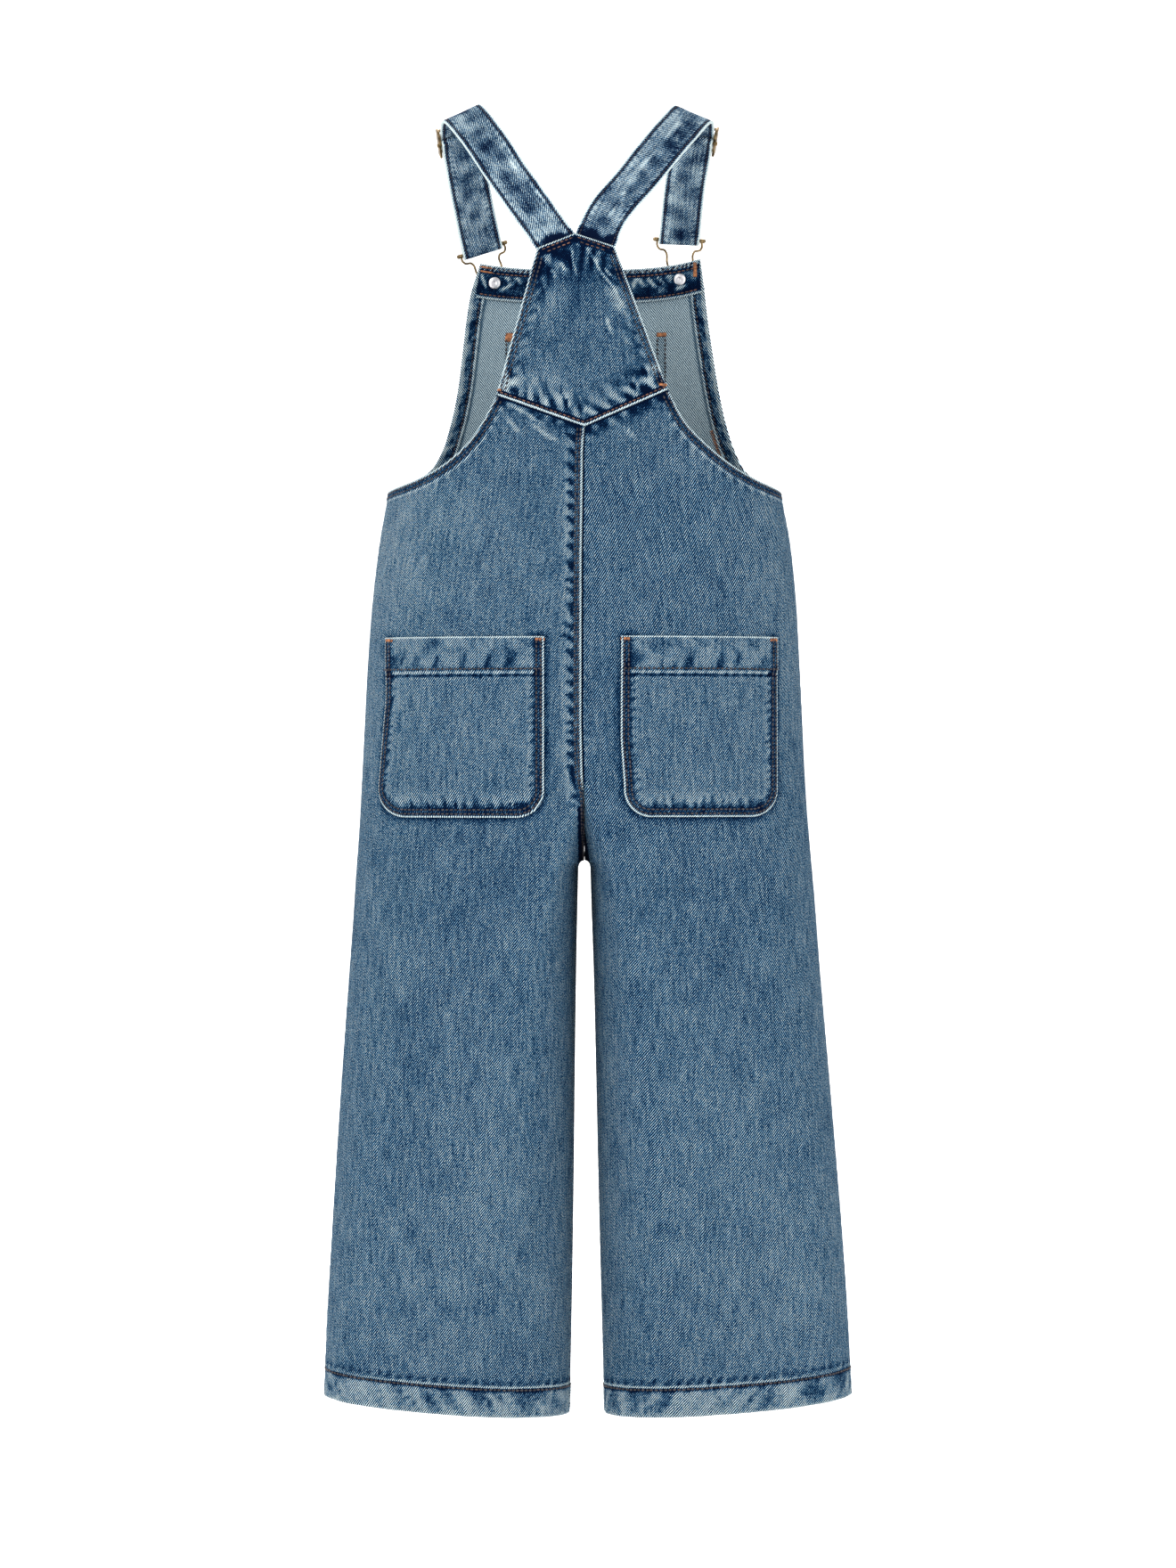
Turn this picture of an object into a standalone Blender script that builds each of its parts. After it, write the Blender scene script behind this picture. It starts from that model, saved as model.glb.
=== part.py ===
"""Child's denim dungarees, filled out as if worn and held up at the shoulders.

Axes: +X is the wearer's left, +Y the wearer's back, +Z up. The origin lies between the two straps where
they cross the shoulders, at the height of the shoulders themselves. Tables are in millimetres.

The body is four quarters: left or right, back or front. A quarter's section at one height is a
superellipse from the side seam (phi 90 degrees) to the centre seam (phi 0). Under the crotch the section
goes on round the inside of the leg to the inseam (phi -90 degrees).
"""

import math

import bmesh
import bpy
import numpy as np
from mathutils import Vector

MM = 0.001
LEFT, RIGHT = 1, -1
BACK, FRONT = 1, -1
SIDE_NAMES = {LEFT: "left", RIGHT: "right"}

# Cloth and seams
DENIM = 1.5
HEM_CLOTH = 2.6
POCKET_CLOTH = 1.3
SEAM_GAP = 0.3
LAY_GAP = 0.3

# Heights
UNDERARM = -292.1
BASE_ROW = -301.0
WAIST_SEAM = -364.0
SPLIT_TOP = -505.0
CROTCH = -571.0
HEM_INNER = -990.5
HEM_RISE = 13.0
HEM_REACH = 197.0
LEG_HEM = 22.0

# The section at each height: half-widths of the two sides, half-depths of back and front, half the gap
# between the legs, the share of the leg's width where its back is deepest, and how square the curve is
SECTION_COLUMNS = ("z", "left", "right", "back", "front", "gap_left", "gap_right", "crest", "square")
SECTIONS = (
    (-1010.0, 198.2, 203.6, 52.0, 52.0, 11.8, 15.4, 0.53, 2.25),
    (-991.0, 197.8, 203.1, 53.0, 53.0, 11.6, 15.0, 0.53, 2.25),
    (-933.0, 196.2, 200.9, 58.5, 58.0, 10.4, 13.6, 0.51, 2.30),
    (-865.0, 192.4, 196.6, 65.0, 63.5, 9.2, 11.8, 0.47, 2.35),
    (-798.0, 188.3, 191.2, 71.5, 69.0, 8.3, 10.2, 0.42, 2.40),
    (-730.0, 183.8, 185.4, 78.5, 74.5, 7.6, 8.8, 0.35, 2.45),
    (-662.0, 178.9, 179.4, 86.0, 80.0, 6.7, 7.2, 0.27, 2.45),
    (-595.0, 174.0, 174.2, 93.5, 85.0, 5.4, 5.0, 0.175, 2.45),
    (-547.0, 170.8, 169.9, 97.0, 87.5, 4.2, 3.8, 0.085, 2.45),
    (-505.0, 168.6, 167.2, 97.6, 88.8, 3.7, 3.7, 0.00, 2.40),
    (-465.0, 166.6, 165.3, 96.3, 89.6, 3.7, 3.7, 0.00, 2.40),
    (-425.5, 164.6, 163.4, 93.0, 90.5, 3.7, 3.7, 0.00, 2.40),
    (-357.8, 159.0, 159.2, 86.0, 87.5, 3.7, 3.7, 0.00, 2.40),
    (-323.9, 154.4, 155.0, 82.5, 83.5, 3.7, 3.7, 0.00, 2.45),
    (-292.1, 148.8, 149.0, 79.5, 79.5, 3.7, 3.7, 0.00, 2.55),
    (-223.0, 146.5, 146.5, 73.0, 73.5, 3.7, 3.7, 0.00, 2.80),
    (-160.0, 146.0, 146.0, 64.5, 70.0, 3.7, 3.7, 0.00, 3.00),
    (-100.0, 146.0, 146.0, 53.5, 67.5, 3.7, 3.7, 0.00, 3.10),
    (-80.0, 146.0, 146.0, 49.0, 67.0, 3.7, 3.7, 0.00, 3.10),
)
INNER_SQUARE = 2.5
CROTCH_ROUND = 6.0

# Soft folds: place round the quarter (degrees from the centre seam), heights, half-width and height
FOLD_COLUMNS = ("side", "face", "phi", "top", "bottom", "spread", "rise")
FOLDS = (
    (LEFT, BACK, 52.0, -640.0, -1060.0, 16.0, 2.4),
    (LEFT, BACK, -24.0, -700.0, -1060.0, 15.0, 1.8),
    (LEFT, BACK, 14.0, -680.0, -1080.0, 14.0, -1.8),
    (RIGHT, BACK, 46.0, -620.0, -1060.0, 16.0, 2.2),
    (RIGHT, BACK, 2.0, -700.0, -1080.0, 14.0, -1.9),
    (RIGHT, BACK, -34.0, -660.0, -1060.0, 15.0, 1.8),
    (LEFT, FRONT, 48.0, -600.0, -1060.0, 16.0, 2.4),
    (LEFT, FRONT, 6.0, -660.0, -1080.0, 14.0, -2.0),
    (LEFT, FRONT, -32.0, -700.0, -1060.0, 15.0, 1.9),
    (RIGHT, FRONT, 54.0, -640.0, -1060.0, 16.0, 2.2),
    (RIGHT, FRONT, 12.0, -640.0, -1080.0, 14.0, -1.8),
    (RIGHT, FRONT, -26.0, -700.0, -1060.0, 15.0, 2.0),
)

# Edges of the upper pieces, as (x, z) seen from behind
V_SEAM_CENTRE = (0.0, -246.6)
V_SEAM_END = {LEFT: (65.8, -222.9), RIGHT: (62.5, -218.9)}
ARMHOLE_BACK = {
    LEFT: ((65.8, -222.9), (77.5, -245.0), (91.1, -262.3), (104.8, -273.6), (125.5, -284.7)),
    RIGHT: ((62.5, -218.9), (75.0, -242.0), (95.0, -262.5), (115.5, -277.5), (131.0, -285.5)),
}
YOKE_TOP = {LEFT: (35.4, -111.7), RIGHT: (22.7, -110.4)}
YOKE_APEX = (7.0, -100.4)

# The bib's side edge: distance from the middle at each height, left and right
BIB_EDGE_COLUMNS = ("z", "left", "right")
BIB_EDGE = (
    (-292.1, 148.8, 149.0),
    (-288.0, 141.0, 142.5),
    (-281.0, 130.5, 132.5),
    (-272.5, 119.5, 124.0),
    (-259.0, 111.0, 117.0),
    (-238.0, 104.0, 110.0),
    (-211.0, 98.2, 104.0),
    (-183.0, 94.6, 99.4),
    (-156.0, 91.4, 95.4),
    (-134.0, 87.6, 92.6),
    (-112.0, 80.6, 89.4),
)
BIB_TOP_SAG = 6.0
BIB_TOP = {LEFT: -112.0, RIGHT: -108.5}
FACING_TALL = 26.0
FACING_INSET = 0.8

# Patch pockets: edges as seen from behind, corner radius, height of the hem
POCKET_COLUMNS = ("name", "face", "x_left", "x_right", "top", "bottom", "corner", "hem")
BACK_POCKETS = (
    ("back_pocket_left", BACK, 150.8, 29.9, -403.8, -538.5, 20.0, 26.0),
    ("back_pocket_right", BACK, -27.5, -143.8, -403.4, -538.0, 20.0, 26.0),
)
BIB_POCKET = ("bib_pocket", FRONT, 57.6, -59.5, -168.0, -293.0, 16.0, 22.0)
POCKET_HEM_EXTRA = 0.9
POCKET_CELLS = 16
POCKET_ROWS = 4
CORNER_ANGLES = (30, 55, 75, 90)

# Straps: where the middle of the thickness runs, from the back to the buckle, as
# (outer edge x, y, z, inner edge x, y, z)
STRAP_WIDTH = 31.4
STRAP_CLOTH = 2.3
STRAP_RINGS = 53
STRAP_EDGES = {
    LEFT: (
        (71.0, 41.0, -63.4, 40.8, 42.5, -52.0),
        (96.0, 22.5, -24.4, 66.4, 24.0, -14.0),
        (108.0, 4.0, -11.4, 79.2, 1.5, 2.2),
        (109.2, -16.0, -19.0, 80.4, -17.5, -7.6),
        (104.6, -41.0, -54.5, 74.0, -42.0, -45.5),
    ),
    RIGHT: (
        (28.9, 49.5, -95.4, 0.5, 50.5, -84.6),
        (54.6, 41.0, -63.2, 25.6, 42.5, -51.6),
        (83.6, 22.5, -26.4, 54.8, 24.0, -14.4),
        (96.8, 4.5, -11.4, 69.2, 0.0, 1.0),
        (98.2, -16.0, -20.2, 68.8, -17.5, -8.8),
        (93.0, -41.0, -56.0, 61.6, -42.0, -51.5),
    ),
}
STRAP_TUCK = 5.0
STRAP_TUCK_GAP = 0.8
STRAP_APART = 0.5
STRAP_CORNER = 0.5
TURN_ANGLES = (30, 60, 90, 120, 150)
END_ANGLES = (30, 60, 90, 115)
SLIDER_PLACE = 0.24

# Buckles: the bar's centre, which way its outer end points, and the button that the loop hooks over
BUCKLE_COLUMNS = ("bar_x", "bar_z", "along_x", "along_z", "button_x", "button_z")
BUCKLES = {
    LEFT: (78.9, -100.9, 0.953, -0.301, 69.8, -126.7),
    RIGHT: (73.1, -93.5, 0.9987, -0.0506, 73.9, -124.0),
}
BAR_RADIUS = 1.2
BAR_HALF = 18.9
KNOB_RADIUS = 1.7
KNOB_ANGLES = (90, 50, 10, -30)
KNOB_NECK = 1.6
WIRE_RADIUS = 0.85
WIRE_LIFT = 1.35
WIRE_RINGS = 46
WIRE_TURN = 0.3
# The wire's half route from the bar: (distance from the middle, share of the way down to the button)
WIRE_ROUTE = (
    (17.2, 0.0),
    (17.2, 0.17),
    (15.8, 0.235),
    (11.6, 0.275),
    (10.4, 0.34),
    (10.0, 0.58),
    (8.2, 0.76),
)
STEM_RADIUS = 2.6
BUTTON_RADIUS = 8.5
BUTTON_THICK = 2.6
# (share of the radius, height above the wire)
BUTTON_PROFILE = ((0.94, 0.0), (1.0, 0.6), (1.0, 1.3), (0.86, 2.0), (0.5, 2.45))
RIVET_RADIUS = 4.65
RIVET_THICK = 1.7
# (share of the radius, share of the thickness)
RIVET_PROFILE = ((1.0, 0.0), (1.0, 0.42), (0.82, 0.72), (0.45, 1.0))

# Sliders: a flat frame whose middle bar lies between the strap's two layers
SLIDER_TALL = 23.0
SLIDER_RAIL = 1.9
SLIDER_BAR = 2.0
SLIDER_PLAY = 0.5
SLIDER_LIP = 0.25
MIDDLE_BAR_PAST = 1.2
LOOP_REACH = BAR_RADIUS + SEAM_GAP + STRAP_CLOTH / 2

# Colours (linear) and finishes
DENIM_BLUE = (0.098, 0.175, 0.262, 1.0)
DENIM_DARK = (0.055, 0.085, 0.125, 1.0)
BRASS = (0.52, 0.36, 0.15, 1.0)
SILVER = (0.66, 0.66, 0.68, 1.0)


def hermite(places, values, at):
    """Values at `at` on the smooth curve through these places and values."""
    slopes = np.gradient(values, places, axis=0)
    i = np.clip(np.searchsorted(places, at) - 1, 0, len(places) - 2)
    step = places[i + 1] - places[i]
    t = np.clip((at - places[i]) / step, 0.0, 1.0)
    if values.ndim == 2:
        step, t = step[:, None], t[:, None]
    start = (1 + 2 * t) * (1 - t) ** 2 * values[i] + t * (1 - t) ** 2 * step * slopes[i]
    end = t * t * (3 - 2 * t) * values[i + 1] + t * t * (t - 1) * step * slopes[i + 1]
    return start + end


def column(table, columns, name, z):
    """A table's named column at heights z, through its rows as a smooth curve."""
    rows = np.array(sorted(table), float)
    return hermite(rows[:, 0], rows[:, columns.index(name)], np.asarray(z, float))


def crotch_turn(z):
    """The cosine and sine of the centre seam's turn, from upright above the crotch to level under it."""
    sine = np.clip((SPLIT_TOP - z) / (SPLIT_TOP - CROTCH), 0.0, 1.0)
    return np.sqrt(1.0 - sine**2), sine


def seam_phi(z):
    """Where the quarter's section ends: the centre seam, and under the crotch the inseam."""
    cosine, _ = crotch_turn(z)
    return -np.arccos(np.clip(cosine ** (INNER_SQUARE / 2), 0.0, 1.0))


def quarter(side, face, phi, z):
    """Points of the cloth's smooth outer surface, in the quarter's own signs (x and y never negative)."""
    width = column(SECTIONS, SECTION_COLUMNS, SIDE_NAMES[side], z)
    depth = column(SECTIONS, SECTION_COLUMNS, "back" if face == BACK else "front", z)
    square = column(SECTIONS, SECTION_COLUMNS, "square", z)
    opening = np.clip((CROTCH - z) / CROTCH_ROUND, 0.0, 1.0)
    gap = column(SECTIONS, SECTION_COLUMNS, "gap_" + SIDE_NAMES[side], z) * np.sqrt(1 - (1 - opening) ** 2)
    crest = np.where(z < SPLIT_TOP, column(SECTIONS, SECTION_COLUMNS, "crest", z), 0.0) * width
    sine, cosine = np.sin(phi), np.maximum(np.cos(phi), 0.0)
    outer_x = crest + (width - crest) * np.abs(sine) ** (2 / square)
    inner_x = crest - (crest - gap) * np.abs(sine) ** (2 / INNER_SQUARE)
    seam_x = crest - (crest - gap) * np.sin(-seam_phi(z)) ** (2 / INNER_SQUARE)
    x = np.where(sine >= 0, outer_x, inner_x)
    x = width - (width - x) * (width - gap) / (width - seam_x)
    y = depth * np.where(sine >= 0, cosine ** (2 / square), cosine ** (2 / INNER_SQUARE))
    return np.stack([x, y, z + 0 * x], -1)


def ramp(value, start, end):
    """0 before start, 1 after end, smooth in between."""
    t = np.clip((value - start) / (end - start), 0.0, 1.0)
    return t * t * (3 - 2 * t)


def fold_rise(side, face, phi, z):
    """How far the soft folds lift the cloth at these places."""
    rise = np.zeros(np.broadcast(phi, z).shape)
    for row in FOLDS:
        fold = dict(zip(FOLD_COLUMNS, row))
        if (fold["side"], fold["face"]) != (side, face):
            continue
        across = np.exp(-(((np.degrees(phi) - fold["phi"]) / fold["spread"]) ** 2))
        middle = (fold["top"] + fold["bottom"]) / 2
        along = ramp(-z, -fold["top"], -middle) * ramp(z, fold["bottom"], middle)
        rise = rise + fold["rise"] * across * along
    return rise


def cloth(side, face, phi, z, out=0.0):
    """Points `out` beyond the cloth's outer surface (inside it where negative), in world signs."""
    turn, drop = math.radians(0.5), 0.5
    low, high = np.maximum(phi - turn, seam_phi(z)), np.minimum(phi + turn, math.pi / 2)
    across = quarter(side, face, high, z) - quarter(side, face, low, z)
    along = quarter(side, face, phi, z + drop) - quarter(side, face, phi, z - drop)
    normal = np.cross(along, across)
    normal /= np.maximum(np.linalg.norm(normal, axis=-1, keepdims=True), 1e-9)
    points = quarter(side, face, phi, z)
    points = points + normal * (fold_rise(side, face, phi, z) + out)[..., None]
    edge = SEAM_GAP / 2
    points[..., :2] = np.maximum(points[..., :2], edge)
    return points * np.array([side, face, 1.0])


def even_phis(side, face, z, shares):
    """Angles at these shares of the way round the section, measured along the cloth from the side seam."""
    fine = np.linspace(math.pi / 2, float(seam_phi(z)), 121)
    path = quarter(side, face, fine, np.full(fine.shape, z))
    length = along_path(path)
    return np.interp(shares, length / length[-1], fine)


def phi_of(side, face, x, z):
    """The angle of the point that lies x from the middle at height z."""
    fine = np.linspace(float(seam_phi(z)), math.pi / 2, 361)
    path = quarter(side, face, fine, np.full(fine.shape, z))
    return float(np.interp(abs(x), path[:, 0], fine))


def seen_at(face, x, z, out=0.0):
    """The cloth's point that is seen at (x, z) from behind or in front, moved out by `out`."""
    side = LEFT if x >= 0 else RIGHT
    phi = phi_of(side, face, x, z)
    return cloth(side, face, np.array(phi), np.array(float(z)), np.array(out))


def along_path(points):
    """The distance along a path at each of its points."""
    return np.concatenate([[0.0], np.cumsum(np.linalg.norm(np.diff(points, axis=0), axis=1))])


def polyline(points, shares):
    """Points at these shares of a polyline's length."""
    points = np.array(points, float)
    length = along_path(points)
    at = np.array(shares) * length[-1]
    return np.stack([np.interp(at, length, points[:, k]) for k in range(points.shape[1])], -1)


def curve_through(points, count):
    """A smooth curve through these points, as `count` evenly spaced ones."""
    points = np.array(points, float)
    length = along_path(points)
    fine = hermite(length, points, np.linspace(0, length[-1], 20 * len(points)))
    return polyline(fine, np.linspace(0, 1, count))


# ---------------------------------------------------------------- solids


def material(name, colour, roughness, metallic):
    made = bpy.data.materials.new(name)
    made.use_nodes = True
    shader = made.node_tree.nodes["Principled BSDF"]
    shader.inputs["Base Color"].default_value = colour
    shader.inputs["Roughness"].default_value = roughness
    shader.inputs["Metallic"].default_value = metallic
    return made


def solid_from(name, bm, finish, smooth=True):
    """An object from a closed bmesh in millimetres."""
    bmesh.ops.recalc_face_normals(bm, faces=bm.faces)
    bmesh.ops.scale(bm, vec=(MM, MM, MM), verts=bm.verts)
    mesh = bpy.data.meshes.new(name)
    bm.to_mesh(mesh)
    bm.free()
    if smooth:
        mesh.shade_smooth()
        mesh.set_sharp_from_angle(angle=math.radians(40))
    made = bpy.data.objects.new(name, mesh)
    made.data.materials.append(finish)
    bpy.context.scene.collection.objects.link(made)
    return made


def wall(name, outer, inner, finish):
    """A cloth wall between two grids of points."""
    bm = bmesh.new()
    rows, cols = outer.shape[:2]
    grids = [[[bm.verts.new(p) for p in row] for row in grid] for grid in (outer, inner)]
    for grid in grids:
        for i in range(rows - 1):
            for j in range(cols - 1):
                bm.faces.new((grid[i][j], grid[i][j + 1], grid[i + 1][j + 1], grid[i + 1][j]))
    round_edge = [(0, j) for j in range(cols)]
    round_edge += [(i, cols - 1) for i in range(1, rows)]
    round_edge += [(rows - 1, j) for j in range(cols - 2, -1, -1)]
    round_edge += [(i, 0) for i in range(rows - 2, 0, -1)]
    for (i, j), (k, m) in zip(round_edge, round_edge[1:] + round_edge[:1]):
        bm.faces.new((grids[0][i][j], grids[0][k][m], grids[1][k][m], grids[1][i][j]))
    return solid_from(name, bm, finish)


def tube(bm, path, radius, sides=6, ring=None):
    """A round bar along a path, with flat ends."""
    path = [Vector(p) for p in path]
    turned = None
    rings = []
    for k, point in enumerate(path):
        ahead = (path[min(k + 1, len(path) - 1)] - path[max(k - 1, 0)]).normalized()
        if turned is None:
            turned = ahead.orthogonal().normalized() if ring is None else Vector(ring)
        turned = (turned - ahead * turned.dot(ahead)).normalized()
        across = ahead.cross(turned)
        angles = [2 * math.pi * s / sides for s in range(sides)]
        spokes = [math.cos(a) * turned + math.sin(a) * across for a in angles]
        rings.append([bm.verts.new(point + radius * spoke) for spoke in spokes])
    for a, b in zip(rings, rings[1:]):
        for s in range(sides):
            bm.faces.new((a[s], a[(s + 1) % sides], b[(s + 1) % sides], b[s]))
    bm.faces.new(rings[0][::-1])
    bm.faces.new(rings[-1])


def turned_solid(name, profile, foot, axis, finish, sides=16):
    """A turned piece: profile rows are (radius, height along the axis), first and last on the axis."""
    axis = Vector(axis).normalized()
    across = axis.orthogonal().normalized()
    other = axis.cross(across)
    bm = bmesh.new()
    ends = [bm.verts.new(Vector(foot) + axis * profile[k][1]) for k in (0, -1)]
    rings = []
    angles = [2 * math.pi * s / sides for s in range(sides)]
    spokes = [math.cos(a) * across + math.sin(a) * other for a in angles]
    for radius, height in profile[1:-1]:
        centre = Vector(foot) + axis * height
        rings.append([bm.verts.new(centre + radius * spoke) for spoke in spokes])
    for s in range(sides):
        n = (s + 1) % sides
        bm.faces.new((ends[0], rings[0][n], rings[0][s]))
        bm.faces.new((ends[1], rings[-1][s], rings[-1][n]))
        for a, b in zip(rings, rings[1:]):
            bm.faces.new((a[s], a[n], b[n], b[s]))
    return solid_from(name, bm, finish)


def joined(name, pieces, finish):
    """One solid from overlapping ones."""
    base, *others = pieces
    base.name = base.data.name = name
    for k, other in enumerate(others):
        other.name = f"{name}_cutter_{k}"
        other.hide_render = True
        other.display_type = "WIRE"
        union = base.modifiers.new(f"union_{k}", "BOOLEAN")
        union.operation = "UNION"
        union.object = other
    base.data.materials.clear()
    base.data.materials.append(finish)
    return base


# ---------------------------------------------------------------- body panels


ARM_CELLS, V_CELLS = 7, 5
UPPER_ROWS = 5
ROW_STEP = 36.0
CROTCH_ANGLES = (22, 40, 54, 66, 78, 90)
LEG_ROWS = 9
LEG_ROWS_FROM, LEG_ROWS_OVER_HEM = 0.08, 0.06
YOKE_CELLS, YOKE_ROWS = 5, 7
BIB_CELLS = 22
BIB_LOW_ROWS = (-320.0, -341.0)
BIB_TOP_FROM = -156.0
FACING_ROWS = 3


def leg_z(share, x):
    """Height of a leg row at distance x from the middle; the last row is the hem's edge."""
    hem = HEM_INNER + HEM_RISE * (x / HEM_REACH) ** 2
    return CROTCH + share * (hem - CROTCH)


def body_rows(top):
    """Heights of the straight rows down to the crotch, close together where the centre seam turns under."""
    straight = np.linspace(top, SPLIT_TOP, round((top - SPLIT_TOP) / ROW_STEP))
    return [*straight, *(SPLIT_TOP - (SPLIT_TOP - CROTCH) * np.sin(np.radians(CROTCH_ANGLES)))]


def leg_shares():
    """Shares of the leg's length for its rows: two under the crotch, even ones, and the hem's two edges."""
    length = CROTCH - HEM_INNER
    hem = 1 - LEG_HEM / length
    even = np.linspace(LEG_ROWS_FROM, hem - LEG_ROWS_OVER_HEM, LEG_ROWS)
    return [2 / length, CROTCH_ROUND / length, *even, hem, hem + 1 / length, 1.0]


def lower_grid(side, face, top):
    """Angles, heights and wall thicknesses of a panel from the height `top` down to the hem."""
    shares = np.linspace(0, 1, ARM_CELLS + V_CELLS + 1)
    phis, heights, thick = [], [], []
    for z in body_rows(top):
        phis.append(even_phis(side, face, z, shares))
        heights.append(np.full(shares.shape, z))
        thick.append(np.full(shares.shape, DENIM))
    hem = 1 - LEG_HEM / (CROTCH - HEM_INNER)
    for share in leg_shares():
        level = leg_z(share, HEM_REACH / 2)
        phi = even_phis(side, face, level, shares)
        x = quarter(side, face, phi, np.full(phi.shape, level))[..., 0]
        phis.append(phi)
        heights.append(leg_z(share, x))
        thick.append(np.full(shares.shape, HEM_CLOTH if share > hem else DENIM))
    return np.array(phis), np.array(heights), np.array(thick)


def top_edge_back(side):
    """The back panel's top edge from the side seam: along the armhole, then down the V seam."""
    underarm_x = float(column(SECTIONS, SECTION_COLUMNS, SIDE_NAMES[side], UNDERARM))
    armhole = [(underarm_x, UNDERARM), *reversed(ARMHOLE_BACK[side])]
    arm = curve_through(armhole, ARM_CELLS + 1)
    v_seam = polyline((V_SEAM_END[side], V_SEAM_CENTRE), np.linspace(0, 1, V_CELLS + 1))
    edge = np.concatenate([arm, v_seam[1:]])
    phis = np.array([phi_of(side, BACK, x, z) for x, z in edge])
    phis[0], phis[-1] = math.pi / 2, 0.0
    return phis, edge[:, 1] - SEAM_GAP / 2


def back_panel(side, finish):
    phis, heights, thick = lower_grid(side, BACK, BASE_ROW)
    top_phis, top_heights = top_edge_back(side)
    shares = np.linspace(0, 1, UPPER_ROWS, endpoint=False)[:, None]
    upper_phis = top_phis + shares * (phis[0] - top_phis)
    upper_heights = top_heights + shares * (heights[0] - top_heights)
    phis = np.concatenate([upper_phis, phis])
    heights = np.concatenate([upper_heights, heights])
    thick = np.concatenate([np.full(upper_phis.shape, DENIM), thick])
    outer = cloth(side, BACK, phis, heights)
    inner = cloth(side, BACK, phis, heights, -thick)
    return wall("back_" + SIDE_NAMES[side], outer, inner, finish)


def front_panel(side, finish):
    phis, heights, thick = lower_grid(side, FRONT, WAIST_SEAM - SEAM_GAP / 2)
    outer = cloth(side, FRONT, phis, heights)
    inner = cloth(side, FRONT, phis, heights, -thick)
    return wall("front_" + SIDE_NAMES[side], outer, inner, finish)


def yoke(finish):
    """The six-sided yoke, from one side edge to the other."""
    half = np.linspace(0, 1, YOKE_CELLS + 1)
    top_left = polyline((YOKE_TOP[LEFT], YOKE_APEX), half)
    right_top = (-YOKE_TOP[RIGHT][0], YOKE_TOP[RIGHT][1])
    right_low = (-V_SEAM_END[RIGHT][0], V_SEAM_END[RIGHT][1])
    top = np.concatenate([top_left, polyline((YOKE_APEX, right_top), half)[1:]])
    low_left = polyline((V_SEAM_END[LEFT], V_SEAM_CENTRE), half)
    low = np.concatenate([low_left, polyline((V_SEAM_CENTRE, right_low), half)[1:]])
    low[:, 1] += SEAM_GAP / 2
    outer, inner = [], []
    for share in np.linspace(0, 1, YOKE_ROWS + 1):
        row = top + share * (low - top)
        outer.append([yoke_point(x, z, 0.0) for x, z in row])
        inner.append([yoke_point(x, z, -DENIM) for x, z in row])
    return wall("back_yoke", np.array(outer), np.array(inner), finish)


def yoke_point(x, z, out):
    """A point of the yoke; the back has no seam clearance there, so it runs through the middle."""
    side = LEFT if x >= 0 else RIGHT
    width = float(column(SECTIONS, SECTION_COLUMNS, SIDE_NAMES[side], z))
    square = float(column(SECTIONS, SECTION_COLUMNS, "square", z))
    phi = math.asin((abs(x) / width) ** (square / 2))
    found = cloth(side, BACK, np.array(phi), np.array(float(z)), np.array(out))
    return np.array([found[0] if abs(x) > 1.0 else x, found[1], found[2]])


def bib_grid():
    """Angles, sides and heights of the bib, from its top edge to the waist seam."""
    shares = np.linspace(-1, 1, BIB_CELLS + 1)
    edges = [row[0] for row in BIB_EDGE]
    levels = [*reversed(edges), BASE_ROW, *BIB_LOW_ROWS, WAIST_SEAM + SEAM_GAP / 2]
    rows = []
    for level in levels:
        row = []
        for share in shares:
            side = LEFT if share > 0 else RIGHT
            tall = ramp(level, BIB_TOP_FROM, BIB_EDGE[-1][0])
            z = level + tall * (bib_top(share) - BIB_EDGE[-1][0])
            end = phi_of(side, FRONT, bib_reach(side, level), level) if level > UNDERARM else math.pi / 2
            row.append((side, abs(share) * end, z))
        rows.append(row)
    return rows


def bib_reach(side, level):
    """The bib's side edge at a height, as its distance from the middle."""
    return float(column(BIB_EDGE, BIB_EDGE_COLUMNS, SIDE_NAMES[side], level))


def bib_top(share):
    """Height of the bib's top edge: it hangs between its two buttons."""
    ends = BIB_TOP[LEFT] if share > 0 else BIB_TOP[RIGHT]
    middle = (BIB_TOP[LEFT] + BIB_TOP[RIGHT]) / 2 - BIB_TOP_SAG
    return middle + (ends - middle) * abs(share) ** 2


def bib_points(rows, out):
    """The bib's points moved out by `out`. It has no seam in the middle, so x runs through zero there."""
    grid = []
    for row in rows:
        points = []
        for side, phi, z in row:
            point = cloth(side, FRONT, np.array(phi), np.array(float(z)), np.array(float(out)))
            points.append([0.0 if phi < 1e-6 else point[0], point[1], point[2]])
        grid.append(points)
    return np.array(grid)


def bib(finish):
    rows = bib_grid()
    return wall("bib", bib_points(rows, 0.0), bib_points(rows, -DENIM), finish)


def bib_facing(finish):
    """The band inside the bib's top edge, from the bib's own points moved in."""
    top_row = bib_grid()[0]
    inset = 1 - FACING_INSET / BIB_EDGE[-1][1]
    rows = []
    for drop in np.linspace(0.0, FACING_TALL, FACING_ROWS + 1):
        row = []
        for side, phi, z in top_row:
            top = BIB_EDGE[-1][0]
            wider = bib_reach(side, top - drop) / bib_reach(side, top)
            row.append((side, phi * inset * wider, z - drop))
        rows.append(row)
    near = -DENIM - LAY_GAP
    return wall("bib_top_facing", bib_points(rows, near), bib_points(rows, near - DENIM), finish)


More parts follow.
